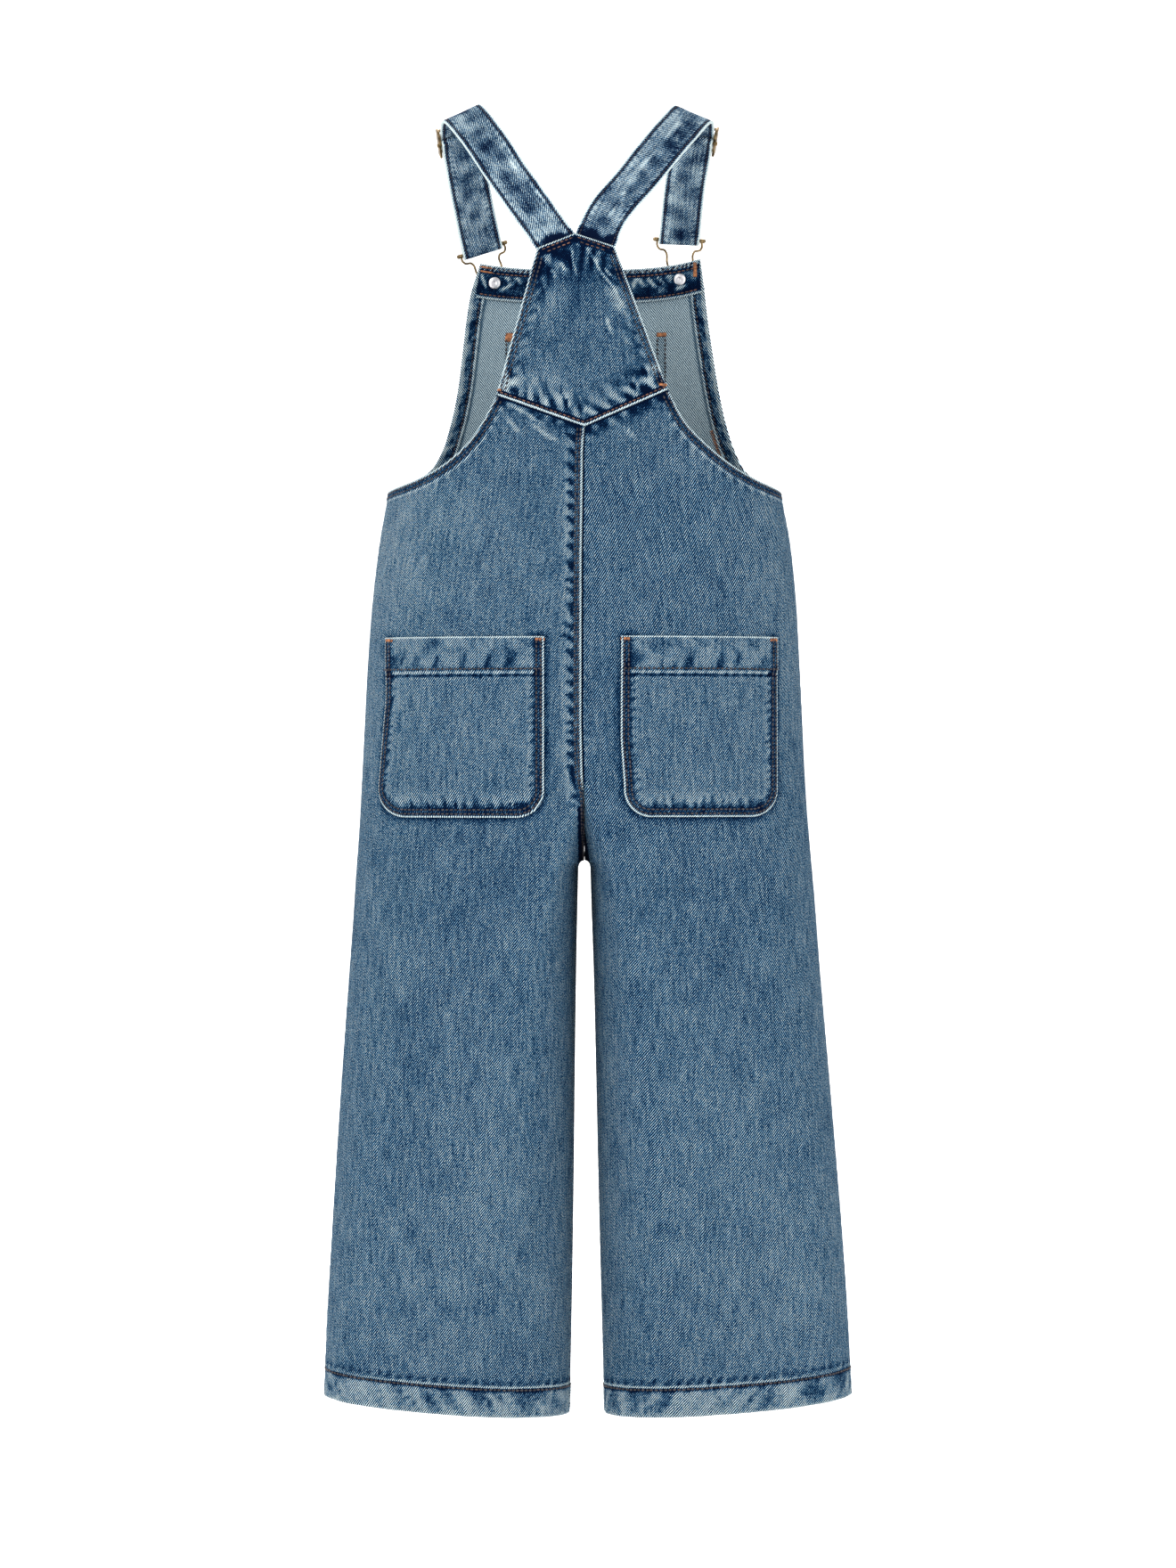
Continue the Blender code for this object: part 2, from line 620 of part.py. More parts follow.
def patch_pocket(row, finish):
    """A patch pocket laid on its panel: straight sides, round lower corners, a thicker hem at the top."""
    size = dict(zip(POCKET_COLUMNS, row))
    middle = (size["x_left"] + size["x_right"]) / 2
    half = (size["x_left"] - size["x_right"]) / 2
    corner = size["corner"]
    hem_end = size["top"] - size["hem"]
    levels = [(size["top"], half), (hem_end, half), (hem_end - 1.0, half)]
    straight_end = size["bottom"] + corner
    levels += [(z, half) for z in np.linspace(levels[-1][0], straight_end, POCKET_ROWS + 1)[1:]]
    for angle in np.radians(CORNER_ANGLES):
        levels.append((straight_end - corner * math.sin(angle), half - corner * (1 - math.cos(angle))))
    outer, inner = [], []
    for k, (z, reach) in enumerate(levels):
        extra = POCKET_HEM_EXTRA if k < 2 else 0.0
        ends = [signed_phi(size["face"], middle + reach * end, z) for end in (1, -1)]
        phis = np.linspace(*ends, POCKET_CELLS + 1)
        outer.append([on_panel(size["face"], phi, z, LAY_GAP + POCKET_CLOTH + extra) for phi in phis])
        inner.append([on_panel(size["face"], phi, z, LAY_GAP) for phi in phis])
    return wall(size["name"], np.array(outer), np.array(inner), finish)


def signed_phi(face, x, z):
    """The section angle of the point seen at (x, z), negative on the right."""
    side = LEFT if x >= 0 else RIGHT
    return side * phi_of(side, face, x, z)


def on_panel(face, phi, z, out):
    """A point on the panels at a signed section angle, moved out, with no seam clearance in the middle."""
    side = LEFT if phi >= 0 else RIGHT
    point = cloth(side, face, np.array(abs(phi)), np.array(float(z)), np.array(float(out)))
    return np.array([0.0 if abs(phi) < 1e-4 else point[0], point[1], point[2]])


# ---------------------------------------------------------------- straps and metalwork


def buckle_frame(side):
    """The buckle's bar centre, button foot, and its directions: along the bar, down to the button, out."""
    size = dict(zip(BUCKLE_COLUMNS, BUCKLES[side]))
    foot = Vector(seen_at(FRONT, side * size["button_x"], size["button_z"], 0.0))
    beyond = Vector(seen_at(FRONT, side * size["button_x"], size["button_z"], 1.0))
    out = (beyond - foot).normalized()
    along = Vector((side * size["along_x"], 0.0, size["along_z"]))
    along = (along - out * along.dot(out)).normalized()
    drop = Vector((side * size["bar_x"], 0.0, size["bar_z"])) - foot
    drop.y = -(out.x * drop.x + out.z * drop.z) / out.y
    centre = foot + drop + out * WIRE_LIFT
    return centre, foot, along, (foot + out * WIRE_LIFT - centre), out


def strap_edge(points):
    """One edge of the strap: straight under the yoke, then a smooth curve from the yoke's edge on."""
    return np.concatenate([points[:1], curve_through(points[1:], STRAP_RINGS - 1)])


def strap_line(side):
    """The strap's middle line and its edge direction (inner to outer), from the yoke to the buckle bar."""
    under = -DENIM - STRAP_TUCK_GAP - STRAP_CLOTH / 2
    outer_x, outer_top = side * YOKE_TOP[side][0], YOKE_TOP[side][1]
    inner_x, inner_top = YOKE_APEX[0] + side * STRAP_APART, YOKE_APEX[1]
    edges = []
    for tuck in (STRAP_TUCK, 0.0):
        outer = seen_at(BACK, outer_x, outer_top - tuck, under)
        inner = seen_at(BACK, inner_x, inner_top - tuck, under)
        edges.append((outer, np.array([inner_x, inner[1], inner[2]])))
    for row in STRAP_EDGES[side]:
        signs = np.array([side, 1.0, 1.0])
        edges.append((np.array(row[:3]) * signs, np.array(row[3:]) * signs))
    centre, _, along, _, _ = buckle_frame(side)
    half = STRAP_WIDTH / 2
    edges.append((np.array(centre + along * half), np.array(centre - along * half)))
    outer, inner = (strap_edge([pair[k] for pair in edges]) for k in (0, 1))
    return (outer + inner) / 2, outer - inner


def strap_layers(side):
    """The strap's middle line, edge directions and outward normals, and its outer layer. In front, from the
    slider down, the strap is double: the layers lie either side of the middle line and part round a bar."""
    middle, across = strap_line(side)
    across /= np.linalg.norm(across, axis=1, keepdims=True)
    ahead = np.gradient(middle, axis=0)
    ahead /= np.linalg.norm(ahead, axis=1, keepdims=True)
    normal = np.cross(ahead, across) * side
    length = along_path(middle)
    ridge = length[np.argmax(middle[:, 2])]
    slider_at = ridge + SLIDER_PLACE * (length[-1] - ridge)
    close = (STRAP_CLOTH + LAY_GAP) / 2
    by_buckle = ramp(length, length[-1] - 12.0, length[-1] - 1.0)
    by_slider = 1 - ramp(np.abs(length - slider_at), 1.0, 9.0)
    half_gap = close + (LOOP_REACH - close) * np.maximum(by_buckle, by_slider)
    lift = normal * (half_gap * ramp(length, ridge - 4.0, slider_at - 4.0))[:, None]
    front = length >= slider_at - 0.5
    return {"middle": middle, "across": across, "normal": normal, "lift": lift, "front": front}


def strap(side, finish):
    """The outer layer down to the buckle, round its bar, up again inside and over the slider's middle bar."""
    layers = strap_layers(side)
    middle, across, normal, lift = (layers[name] for name in ("middle", "across", "normal", "lift"))
    front = layers["front"]
    centres, edges, normals = list(middle + lift), list(across), list(normal)
    down = middle[-1] - middle[-2]
    down /= np.linalg.norm(down)
    for angle in np.radians(TURN_ANGLES):
        spoke = normal[-1] * math.cos(angle) + down * math.sin(angle)
        centres.append(middle[-1] + spoke * LOOP_REACH)
        edges.append(across[-1])
        normals.append(spoke)
    centres += list((middle - lift)[front][::-1])
    edges += list(across[front][::-1])
    normals += list(-normal[front][::-1])
    top = int(np.argmax(front))
    up = middle[top] - middle[top + 1]
    up /= np.linalg.norm(up)
    for angle in np.radians(END_ANGLES):
        spoke = -normal[top] * math.cos(angle) + up * math.sin(angle)
        centres.append(middle[top] + spoke * LOOP_REACH)
        edges.append(across[top])
        normals.append(spoke)
    return ribbon("strap_" + SIDE_NAMES[side], centres, edges, normals, finish)


def ribbon(name, centres, edges, normals, finish):
    """A flat band: a rectangle with its corners cut, carried along the centres."""
    half, thin, cut = STRAP_WIDTH / 2, STRAP_CLOTH / 2, STRAP_CORNER
    outline = ((half, thin - cut), (half - cut, thin), (-half + cut, thin), (-half, thin - cut))
    outline += tuple((-across, -deep) for across, deep in outline)
    bm = bmesh.new()
    rings = []
    for centre, edge, normal in zip(centres, edges, normals):
        ring = [centre + edge * across + normal * deep for across, deep in outline]
        rings.append([bm.verts.new(point) for point in ring])
    count = len(outline)
    for a, b in zip(rings, rings[1:]):
        for s in range(count):
            bm.faces.new((a[s], a[(s + 1) % count], b[(s + 1) % count], b[s]))
    bm.faces.new(rings[0])
    bm.faces.new(rings[-1])
    return solid_from(name, bm, finish)


def buckle(side, finish):
    """The bar with its knobs, and the wire loop down to the button."""
    centre, _, along, down, out = buckle_frame(side)
    knob = [(KNOB_RADIUS * math.cos(a), KNOB_RADIUS * math.sin(a)) for a in np.radians(KNOB_ANGLES)]
    half_bar = [(radius, BAR_HALF + height) for radius, height in knob]
    half_bar.append((BAR_RADIUS, BAR_HALF - KNOB_NECK))
    profile = half_bar + [(radius, -height) for radius, height in reversed(half_bar)]
    bar = turned_solid("bar", profile, centre, along, finish, 8)
    route = [centre + along * across + down * share for across, share in WIRE_ROUTE]
    foot = centre + down
    turn = down.normalized()
    reach = STEM_RADIUS + WIRE_RADIUS + LAY_GAP
    angles = np.radians(range(0, 181, 20))
    arc = [foot + along * reach * math.cos(a) + turn * reach * math.sin(a) for a in angles]
    other = [centre - along * across + down * share for across, share in reversed(WIRE_ROUTE)]
    path = curve_through([np.array(p) for p in route + arc + other], WIRE_RINGS)
    bm = bmesh.new()
    tube(bm, path, WIRE_RADIUS, 6, out + along * WIRE_TURN)
    wire = solid_from("wire", bm, finish)
    return joined("buckle_" + SIDE_NAMES[side], [bar, wire], finish)


def button(side, finish):
    """The tack button: a stem from the bib and a low domed head over the wire."""
    _, foot, _, _, out = buckle_frame(side)
    under = WIRE_LIFT + WIRE_RADIUS + LAY_GAP
    profile = [(0.0, SEAM_GAP), (STEM_RADIUS, SEAM_GAP), (STEM_RADIUS, under)]
    profile += [(BUTTON_RADIUS * share, under + height) for share, height in BUTTON_PROFILE]
    profile.append((0.0, under + BUTTON_THICK))
    return turned_solid("button_" + SIDE_NAMES[side], profile, foot, out, finish)


def rivet(side, finish):
    """The button's round back, inside the bib on its facing."""
    _, foot, _, _, out = buckle_frame(side)
    base = foot - out * (2 * DENIM + LAY_GAP + SEAM_GAP)
    dome = [(RIVET_RADIUS * wide, RIVET_THICK * thick) for wide, thick in RIVET_PROFILE]
    profile = [(0.0, 0.0), *dome, (0.0, RIVET_THICK)]
    return turned_solid("rivet_" + SIDE_NAMES[side], profile, base, -out, finish)


def box_solid(name, centre, axes, sizes, finish):
    """A bar with square edges, along three directions."""
    bm = bmesh.new()
    bmesh.ops.create_cube(bm, size=1.0)
    for v in bm.verts:
        v.co = Vector(centre) + sum((axes[k] * (v.co[k] * sizes[k]) for k in range(3)), Vector())
    return solid_from(name, bm, finish, smooth=False)


def slider(side, finish):
    """A frame round the strap: two rails, top and bottom bars outside, a middle bar between the layers."""
    layers = strap_layers(side)
    at = int(np.argmax(layers["front"]))
    wide, out = Vector(layers["across"][at]), Vector(layers["normal"][at])
    centre = Vector(layers["middle"][at])
    tall = Vector(layers["middle"][at - 2] - layers["middle"][at + 2]).normalized()
    front_face = LOOP_REACH + STRAP_CLOTH / 2 + LAY_GAP
    rail_place = STRAP_WIDTH / 2 + SLIDER_PLAY + SLIDER_RAIL / 2
    back_lip, front_lip = SLIDER_BAR / 2 + SLIDER_LIP, front_face + SLIDER_BAR + SLIDER_LIP
    rail_size = (SLIDER_RAIL, SLIDER_TALL, front_lip + back_lip)
    axes = (wide, tall, out)
    pieces = []
    for end in (-1, 1):
        place = centre + wide * end * rail_place + out * (front_lip - back_lip) / 2
        pieces.append(box_solid("rail", place, axes, rail_size, finish))
    for end in (-1, 1):
        place = centre + tall * end * (SLIDER_TALL / 2 - SLIDER_BAR) + out * (front_face + SLIDER_BAR / 2)
        pieces.append(box_solid("bar", place, axes, (2 * rail_place, SLIDER_BAR, SLIDER_BAR), finish))
    bm = bmesh.new()
    reach = rail_place + SLIDER_RAIL / 2 + MIDDLE_BAR_PAST
    tube(bm, [centre - wide * reach, centre + wide * reach], SLIDER_BAR / 2, 8, out + tall * WIRE_TURN)
    pieces.append(solid_from("middle_bar", bm, finish))
    return joined("slider_" + SIDE_NAMES[side], pieces, finish)


def main():
    for old in list(bpy.data.objects):
        bpy.data.objects.remove(old)
    denim = material("denim", DENIM_BLUE, 0.9, 0.0)
    dark = material("denim_dark", DENIM_DARK, 0.9, 0.0)
    brass = material("brass", BRASS, 0.35, 1.0)
    silver = material("silver", SILVER, 0.3, 1.0)
    yoke(denim)
    bib(denim)
    bib_facing(dark)
    for row in (*BACK_POCKETS, BIB_POCKET):
        patch_pocket(row, denim)
    for side in (LEFT, RIGHT):
        back_panel(side, denim)
        front_panel(side, denim)
        strap(side, denim)
        buckle(side, brass)
        slider(side, brass)
        button(side, brass)
        rivet(side, silver)


main()
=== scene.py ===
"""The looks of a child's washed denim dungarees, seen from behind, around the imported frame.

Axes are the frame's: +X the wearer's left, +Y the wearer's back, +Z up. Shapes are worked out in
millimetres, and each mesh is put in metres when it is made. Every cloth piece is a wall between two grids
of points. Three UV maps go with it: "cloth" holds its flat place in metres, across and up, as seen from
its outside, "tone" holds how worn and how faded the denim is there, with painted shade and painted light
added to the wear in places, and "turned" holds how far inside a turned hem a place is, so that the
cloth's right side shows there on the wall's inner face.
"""
import math

import bmesh
import bpy
import numpy as np
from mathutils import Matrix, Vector
from mathutils.bvhtree import BVHTree


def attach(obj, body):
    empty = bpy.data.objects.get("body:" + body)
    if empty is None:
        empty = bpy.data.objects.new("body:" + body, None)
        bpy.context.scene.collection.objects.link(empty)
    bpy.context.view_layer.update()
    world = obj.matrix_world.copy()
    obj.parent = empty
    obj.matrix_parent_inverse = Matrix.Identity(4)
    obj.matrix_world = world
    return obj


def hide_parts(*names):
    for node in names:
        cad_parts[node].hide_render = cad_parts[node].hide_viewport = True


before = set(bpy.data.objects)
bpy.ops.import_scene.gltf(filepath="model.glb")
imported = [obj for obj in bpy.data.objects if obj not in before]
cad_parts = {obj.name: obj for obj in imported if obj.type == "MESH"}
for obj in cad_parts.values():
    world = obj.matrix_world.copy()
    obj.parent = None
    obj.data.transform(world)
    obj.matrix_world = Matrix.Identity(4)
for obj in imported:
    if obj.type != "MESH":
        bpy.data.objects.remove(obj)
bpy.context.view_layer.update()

MM = 0.001
LEFT, RIGHT = 1, -1
BACK, FRONT = 1, -1
SIDE_NAMES = {LEFT: "left", RIGHT: "right"}

# ---------------------------------------------------------------- sizes, as the frame's (mm)

DENIM = 1.5
HEM_CLOTH = 2.6
POCKET_CLOTH = 1.3
SEAM_GAP = 0.3
LAY_GAP = 0.3
UNDERARM = -292.1
BASE_ROW = -301.0
WAIST_SEAM = -364.0
SPLIT_TOP = -505.0
CROTCH = -571.0
HEM_INNER = -990.5
HEM_RISE = 13.0
HEM_REACH = 197.0
LEG_HEM = 22.0

# The section at each height: half-widths of the two sides, half-depths of back and front, half the gap
# between the legs, the share of the leg's width where its back is deepest, and how square the curve is
SECTION_COLUMNS = ("z", "left", "right", "back", "front", "gap_left", "gap_right", "crest", "square")
SECTIONS = (
    (-1010.0, 198.2, 203.6, 52.0, 52.0, 11.8, 15.4, 0.53, 2.25),
    (-991.0, 197.8, 203.1, 53.0, 53.0, 11.6, 15.0, 0.53, 2.25),
    (-933.0, 196.2, 200.9, 58.5, 58.0, 10.4, 13.6, 0.51, 2.30),
    (-865.0, 192.4, 196.6, 65.0, 63.5, 9.2, 11.8, 0.47, 2.35),
    (-798.0, 188.3, 191.2, 71.5, 69.0, 8.3, 10.2, 0.42, 2.40),
    (-730.0, 183.8, 185.4, 78.5, 74.5, 7.6, 8.8, 0.35, 2.45),
    (-662.0, 178.9, 179.4, 86.0, 80.0, 6.7, 7.2, 0.27, 2.45),
    (-595.0, 174.0, 174.2, 93.5, 85.0, 5.4, 5.0, 0.175, 2.45),
    (-547.0, 170.8, 169.9, 97.0, 87.5, 4.2, 3.8, 0.085, 2.45),
    (-505.0, 168.6, 167.2, 97.6, 88.8, 3.7, 3.7, 0.00, 2.40),
    (-465.0, 166.6, 165.3, 96.3, 89.6, 3.7, 3.7, 0.00, 2.40),
    (-425.5, 164.6, 163.4, 93.0, 90.5, 3.7, 3.7, 0.00, 2.40),
    (-357.8, 159.0, 159.2, 86.0, 87.5, 3.7, 3.7, 0.00, 2.40),
    (-323.9, 154.4, 155.0, 82.5, 83.5, 3.7, 3.7, 0.00, 2.45),
    (-292.1, 148.8, 149.0, 79.5, 79.5, 3.7, 3.7, 0.00, 2.55),
    (-223.0, 146.5, 146.5, 73.0, 73.5, 3.7, 3.7, 0.00, 2.80),
    (-160.0, 146.0, 146.0, 64.5, 70.0, 3.7, 3.7, 0.00, 3.00),
    (-100.0, 146.0, 146.0, 53.5, 67.5, 3.7, 3.7, 0.00, 3.10),
    (-80.0, 146.0, 146.0, 49.0, 67.0, 3.7, 3.7, 0.00, 3.10),
)
INNER_SQUARE = 2.5
CROTCH_ROUND = 6.0
SEAM_PULL = 18.0
# How far the centre back seam strays to the wearer's left, and how far that is felt to its sides
SEAM_LEAN = (
    (-571, 0.0),
    (-556, 0.3),
    (-535, 0.7),
    (-515, 0.9),
    (-496, 1.5),
    (-470, 2.1),
    (-345, 2.0),
    (-300, 1.4),
    (-266, 1.2),
    (-248, 0.0),
)
LEAN_REACH = 26.0

FOLD_COLUMNS = ("side", "face", "phi", "top", "bottom", "spread", "rise")
FOLDS = (
    (LEFT, BACK, 52.0, -640.0, -1060.0, 16.0, 2.4),
    (LEFT, BACK, -24.0, -700.0, -1060.0, 15.0, 1.8),
    (LEFT, BACK, 14.0, -680.0, -1080.0, 14.0, -1.8),
    (RIGHT, BACK, 46.0, -620.0, -1060.0, 16.0, 2.2),
    (RIGHT, BACK, 2.0, -700.0, -1080.0, 14.0, -1.9),
    (RIGHT, BACK, -34.0, -660.0, -1060.0, 15.0, 1.8),
    (LEFT, FRONT, 48.0, -600.0, -1060.0, 16.0, 2.4),
    (LEFT, FRONT, 6.0, -660.0, -1080.0, 14.0, -2.0),
    (LEFT, FRONT, -32.0, -700.0, -1060.0, 15.0, 1.9),
    (RIGHT, FRONT, 54.0, -640.0, -1060.0, 16.0, 2.2),
    (RIGHT, FRONT, 12.0, -640.0, -1080.0, 14.0, -1.8),
    (RIGHT, FRONT, -26.0, -700.0, -1060.0, 15.0, 2.0),
)

V_SEAM_CENTRE = (0.0, -246.6)
V_SEAM_END = {LEFT: (65.8, -222.9), RIGHT: (62.5, -218.9)}
ARMHOLE_BACK = {
    LEFT: ((65.8, -222.9), (77.5, -245.0), (91.1, -262.3), (104.8, -273.6), (125.5, -284.7)),
    RIGHT: ((62.5, -218.9), (75.0, -242.0), (95.0, -262.5), (115.5, -277.5), (131.0, -285.5)),
}
YOKE_TOP = {LEFT: (35.4, -111.7), RIGHT: (22.7, -110.4)}
YOKE_APEX = (7.0, -100.4)

BIB_EDGE_COLUMNS = ("z", "left", "right")
BIB_EDGE = (
    (-292.1, 148.8, 149.0),
    (-288.0, 141.0, 142.5),
    (-281.0, 130.5, 132.5),
    (-272.5, 119.5, 124.0),
    (-259.0, 111.0, 117.0),
    (-238.0, 104.0, 110.0),
    (-211.0, 98.2, 104.0),
    (-183.0, 94.6, 99.4),
    (-156.0, 91.4, 95.4),
    (-134.0, 87.6, 92.6),
    (-112.0, 80.6, 89.4),
)
BIB_TOP_SAG = 6.0
BIB_TOP = {LEFT: -112.0, RIGHT: -108.5}
BIB_TOP_FROM = -156.0
FACING_TALL = 26.0
FACING_INSET = 0.8

POCKET_COLUMNS = ("name", "face", "x_left", "x_right", "top", "bottom", "corner", "hem")
BACK_POCKETS = (
    ("back_pocket_left", BACK, 150.8, 29.9, -403.8, -538.5, 20.0, 26.0),
    ("back_pocket_right", BACK, -27.5, -143.8, -403.4, -538.0, 20.0, 26.0),
)
POCKET_FLARES = {
    "back_pocket_left": ((-540, 2.8), (-514, 2.8), (-450, -2.6), (-403, -2.6)),
    "back_pocket_right": ((-540, -2.2), (-514, -1.8), (-480, 0.6), (-403, 0.2)),
}
BIB_POCKET = ("bib_pocket", FRONT, 57.6, -59.5, -168.0, -293.0, 16.0, 22.0)

STRAP_WIDTH = 31.4
STRAP_CLOTH = 2.3
STRAP_EDGES = {
    LEFT: (
        (71.0, 41.0, -63.4, 40.8, 42.5, -52.0),
        (96.0, 22.5, -24.4, 66.4, 24.0, -14.0),
        (108.0, 4.0, -11.4, 79.2, 1.5, 2.2),
        (109.2, -16.0, -19.0, 80.4, -17.5, -7.6),
        (104.6, -41.0, -54.5, 74.0, -42.0, -45.5),
    ),
    RIGHT: (
        (28.9, 49.5, -95.4, 0.5, 50.5, -84.6),
        (54.6, 41.0, -63.2, 25.6, 42.5, -51.6),
        (83.6, 22.5, -26.4, 54.8, 24.0, -14.4),
        (96.8, 4.5, -11.4, 69.2, 0.0, 1.0),
        (98.2, -16.0, -20.2, 68.8, -17.5, -8.8),
        (93.0, -41.0, -56.0, 61.6, -42.0, -51.5),
    ),
}
STRAP_TUCK = 5.0
STRAP_TUCK_GAP = 0.8
STRAP_APART = 0.5
STRAP_RINGS = 53
SLIDER_PLACE = 0.24

BUCKLE_COLUMNS = ("bar_x", "bar_z", "along_x", "along_z", "button_x", "button_z")
BUCKLES = {
    LEFT: (78.9, -100.9, 0.953, -0.301, 69.8, -126.7),
    RIGHT: (73.1, -93.5, 0.9987, -0.0506, 73.9, -124.0),
}
BAR_RADIUS = 1.2
BAR_HALF = 18.9
KNOB_RADIUS = 1.7
WIRE_RADIUS = 0.85
WIRE_LIFT = 1.35
WIRE_ROUTE = (
    (17.2, 0.0),
    (17.2, 0.17),
    (15.8, 0.235),
    (11.6, 0.275),
    (10.4, 0.34),
    (10.0, 0.58),
    (8.2, 0.76),
)
STEM_RADIUS = 2.6
BUTTON_RADIUS = 8.5
BUTTON_THICK = 2.6
RIVET_RADIUS = 4.65
RIVET_THICK = 1.7
SLIDER_TALL = 23.0
SLIDER_RAIL = 1.9
SLIDER_BAR = 2.0
SLIDER_PLAY = 0.5
SLIDER_LIP = 0.25
MIDDLE_BAR_PAST = 1.2
LOOP_REACH = BAR_RADIUS + SEAM_GAP + STRAP_CLOTH / 2

# ---------------------------------------------------------------- the garment's surface, as the frame's


def hermite(places, values, at):
    """Values at `at` on the smooth curve through these places and values."""
    slopes = np.gradient(values, places, axis=0)
    i = np.clip(np.searchsorted(places, at) - 1, 0, len(places) - 2)
    step = places[i + 1] - places[i]
    t = np.clip((at - places[i]) / step, 0.0, 1.0)
    if values.ndim == 2:
        step, t = step[:, None], t[:, None]
    start = (1 + 2 * t) * (1 - t) ** 2 * values[i] + t * (1 - t) ** 2 * step * slopes[i]
    end = t * t * (3 - 2 * t) * values[i + 1] + t * t * (t - 1) * step * slopes[i + 1]
    return start + end


def column(table, columns, name, z):
    """A table's named column at heights z, through its rows as a smooth curve."""
    rows = np.array(sorted(table), float)
    return hermite(rows[:, 0], rows[:, columns.index(name)], np.asarray(z, float))


def seam_phi(z):
    """Where the quarter's section ends: the centre seam, and under the crotch the inseam."""
    sine = np.clip((SPLIT_TOP - z) / (SPLIT_TOP - CROTCH), 0.0, 1.0)
    cosine = np.sqrt(1.0 - sine**2)
    return -np.arccos(np.clip(cosine ** (INNER_SQUARE / 2), 0.0, 1.0))


def seam_lean(face, z):
    """How far the centre seam strays to the left at these heights."""
    places, shifts = zip(*SEAM_LEAN)
    return np.interp(z, places, shifts) if face == BACK else np.zeros(np.shape(z))


def quarter(side, face, phi, z):
    """Points of the cloth's smooth outer surface, in the quarter's own signs (x and y never negative)."""
    width = column(SECTIONS, SECTION_COLUMNS, SIDE_NAMES[side], z)
    depth = column(SECTIONS, SECTION_COLUMNS, "back" if face == BACK else "front", z)
    square = column(SECTIONS, SECTION_COLUMNS, "square", z)
    opening = np.clip((CROTCH - z) / CROTCH_ROUND, 0.0, 1.0)
    gap = column(SECTIONS, SECTION_COLUMNS, "gap_" + SIDE_NAMES[side], z) * np.sqrt(1 - (1 - opening) ** 2)
    crest = np.where(z < SPLIT_TOP, column(SECTIONS, SECTION_COLUMNS, "crest", z), 0.0) * width
    sine, cosine = np.sin(phi), np.maximum(np.cos(phi), 0.0)
    outer_x = crest + (width - crest) * np.abs(sine) ** (2 / square)
    inner_x = crest - (crest - gap) * np.abs(sine) ** (2 / INNER_SQUARE)
    seam_x = crest - (crest - gap) * np.sin(-seam_phi(z)) ** (2 / INNER_SQUARE)
    x = np.where(sine >= 0, outer_x, inner_x)
    x = x + (gap - seam_x) * np.exp((seam_x - x) / SEAM_PULL)
    x = x + side * seam_lean(face, z) * np.exp(-((x / LEAN_REACH) ** 2))
    y = depth * np.where(sine >= 0, cosine ** (2 / square), cosine ** (2 / INNER_SQUARE))
    return np.stack([x, y, z + 0 * x], -1)


def ramp(value, start, end):
    """0 before start, 1 after end, smooth in between."""
    t = np.clip((value - start) / (end - start), 0.0, 1.0)
    return t * t * (3 - 2 * t)


def fall(value, start, end):
    """1 before start, 0 after end, smooth in between."""
    return 1 - ramp(value, start, end)


def fold_rise(side, face, phi, z):
    """How far the soft folds lift the cloth at these places."""
    rise = np.zeros(np.broadcast(phi, z).shape)
    for row in FOLDS:
        fold = dict(zip(FOLD_COLUMNS, row))
        if (fold["side"], fold["face"]) != (side, face):
            continue
        across = np.exp(-(((np.degrees(phi) - fold["phi"]) / fold["spread"]) ** 2))
        middle = (fold["top"] + fold["bottom"]) / 2
        along = ramp(-z, -fold["top"], -middle) * ramp(z, fold["bottom"], middle)
        rise = rise + fold["rise"] * across * along
    return rise


def cloth_frame(side, face, phi, z):
    """Points of the draped outer surface and their outward normals, in world signs."""
    turn, drop = math.radians(0.5), 0.5
    low, high = np.maximum(phi - turn, seam_phi(z)), np.minimum(phi + turn, math.pi / 2)
    across = quarter(side, face, high, z) - quarter(side, face, low, z)
    along = quarter(side, face, phi, z + drop) - quarter(side, face, phi, z - drop)
    normal = np.cross(along, across)
    normal /= np.maximum(np.linalg.norm(normal, axis=-1, keepdims=True), 1e-9)
    points = quarter(side, face, phi, z)
    signs = np.array([side, face, 1.0])
    rise = fold_rise(side, face, phi, z) + crease_rise(side, face, points)
    return (points + normal * rise[..., None]) * signs, normal * signs


def keep_apart(points, side, face):
    """Points held half a seam gap away from the middle planes that their piece ends at."""
    points = points.copy()
    for axis, (sign, middle) in enumerate(((side, seam_lean(face, points[..., 2])), (face, 0.0))):
        if sign:
            points[..., axis] = np.maximum((points[..., axis] - middle) * sign, SEAM_GAP / 2) * sign + middle
    return points


def phi_of(side, face, x, z):
    """The angle of the point that lies x from the middle at height z."""
    fine = np.linspace(float(seam_phi(z)), math.pi / 2, 361)
    path = quarter(side, face, fine, np.full(fine.shape, z))
    return float(np.interp(abs(x), path[:, 0], fine))


def halves(x):
    """Each side with the places that lie on it: x is positive on the left."""
    return (LEFT, x >= 0), (RIGHT, x < 0)


def seen_at(face, x, z, out=0.0):
    """The cloth's point that is seen at (x, z) from behind or in front, moved out by `out`."""
    side = LEFT if x >= 0 else RIGHT
    points, normals = cloth_frame(side, face, np.array(phi_of(side, face, x, z)), np.array(float(z)))
    return points + normals * out


def along_path(points):
    """The distance along a path at each of its points."""
    return np.concatenate([[0.0], np.cumsum(np.linalg.norm(np.diff(points, axis=0), axis=1))])


def polyline(points, shares):
    """Points at these shares of a polyline's length."""
    points = np.array(points, float)
    length = along_path(points)
    at = np.array(shares) * length[-1]
    return np.stack([np.interp(at, length, points[:, k]) for k in range(points.shape[1])], -1)


def curve_through(points, count):
    """A smooth curve through these points, as `count` evenly spaced ones."""
    points = np.array(points, float)
    length = along_path(points)
    fine = hermite(length, points, np.linspace(0, length[-1], 20 * len(points)))
    return polyline(fine, np.linspace(0, 1, count))


# ---------------------------------------------------------------- creases and wear


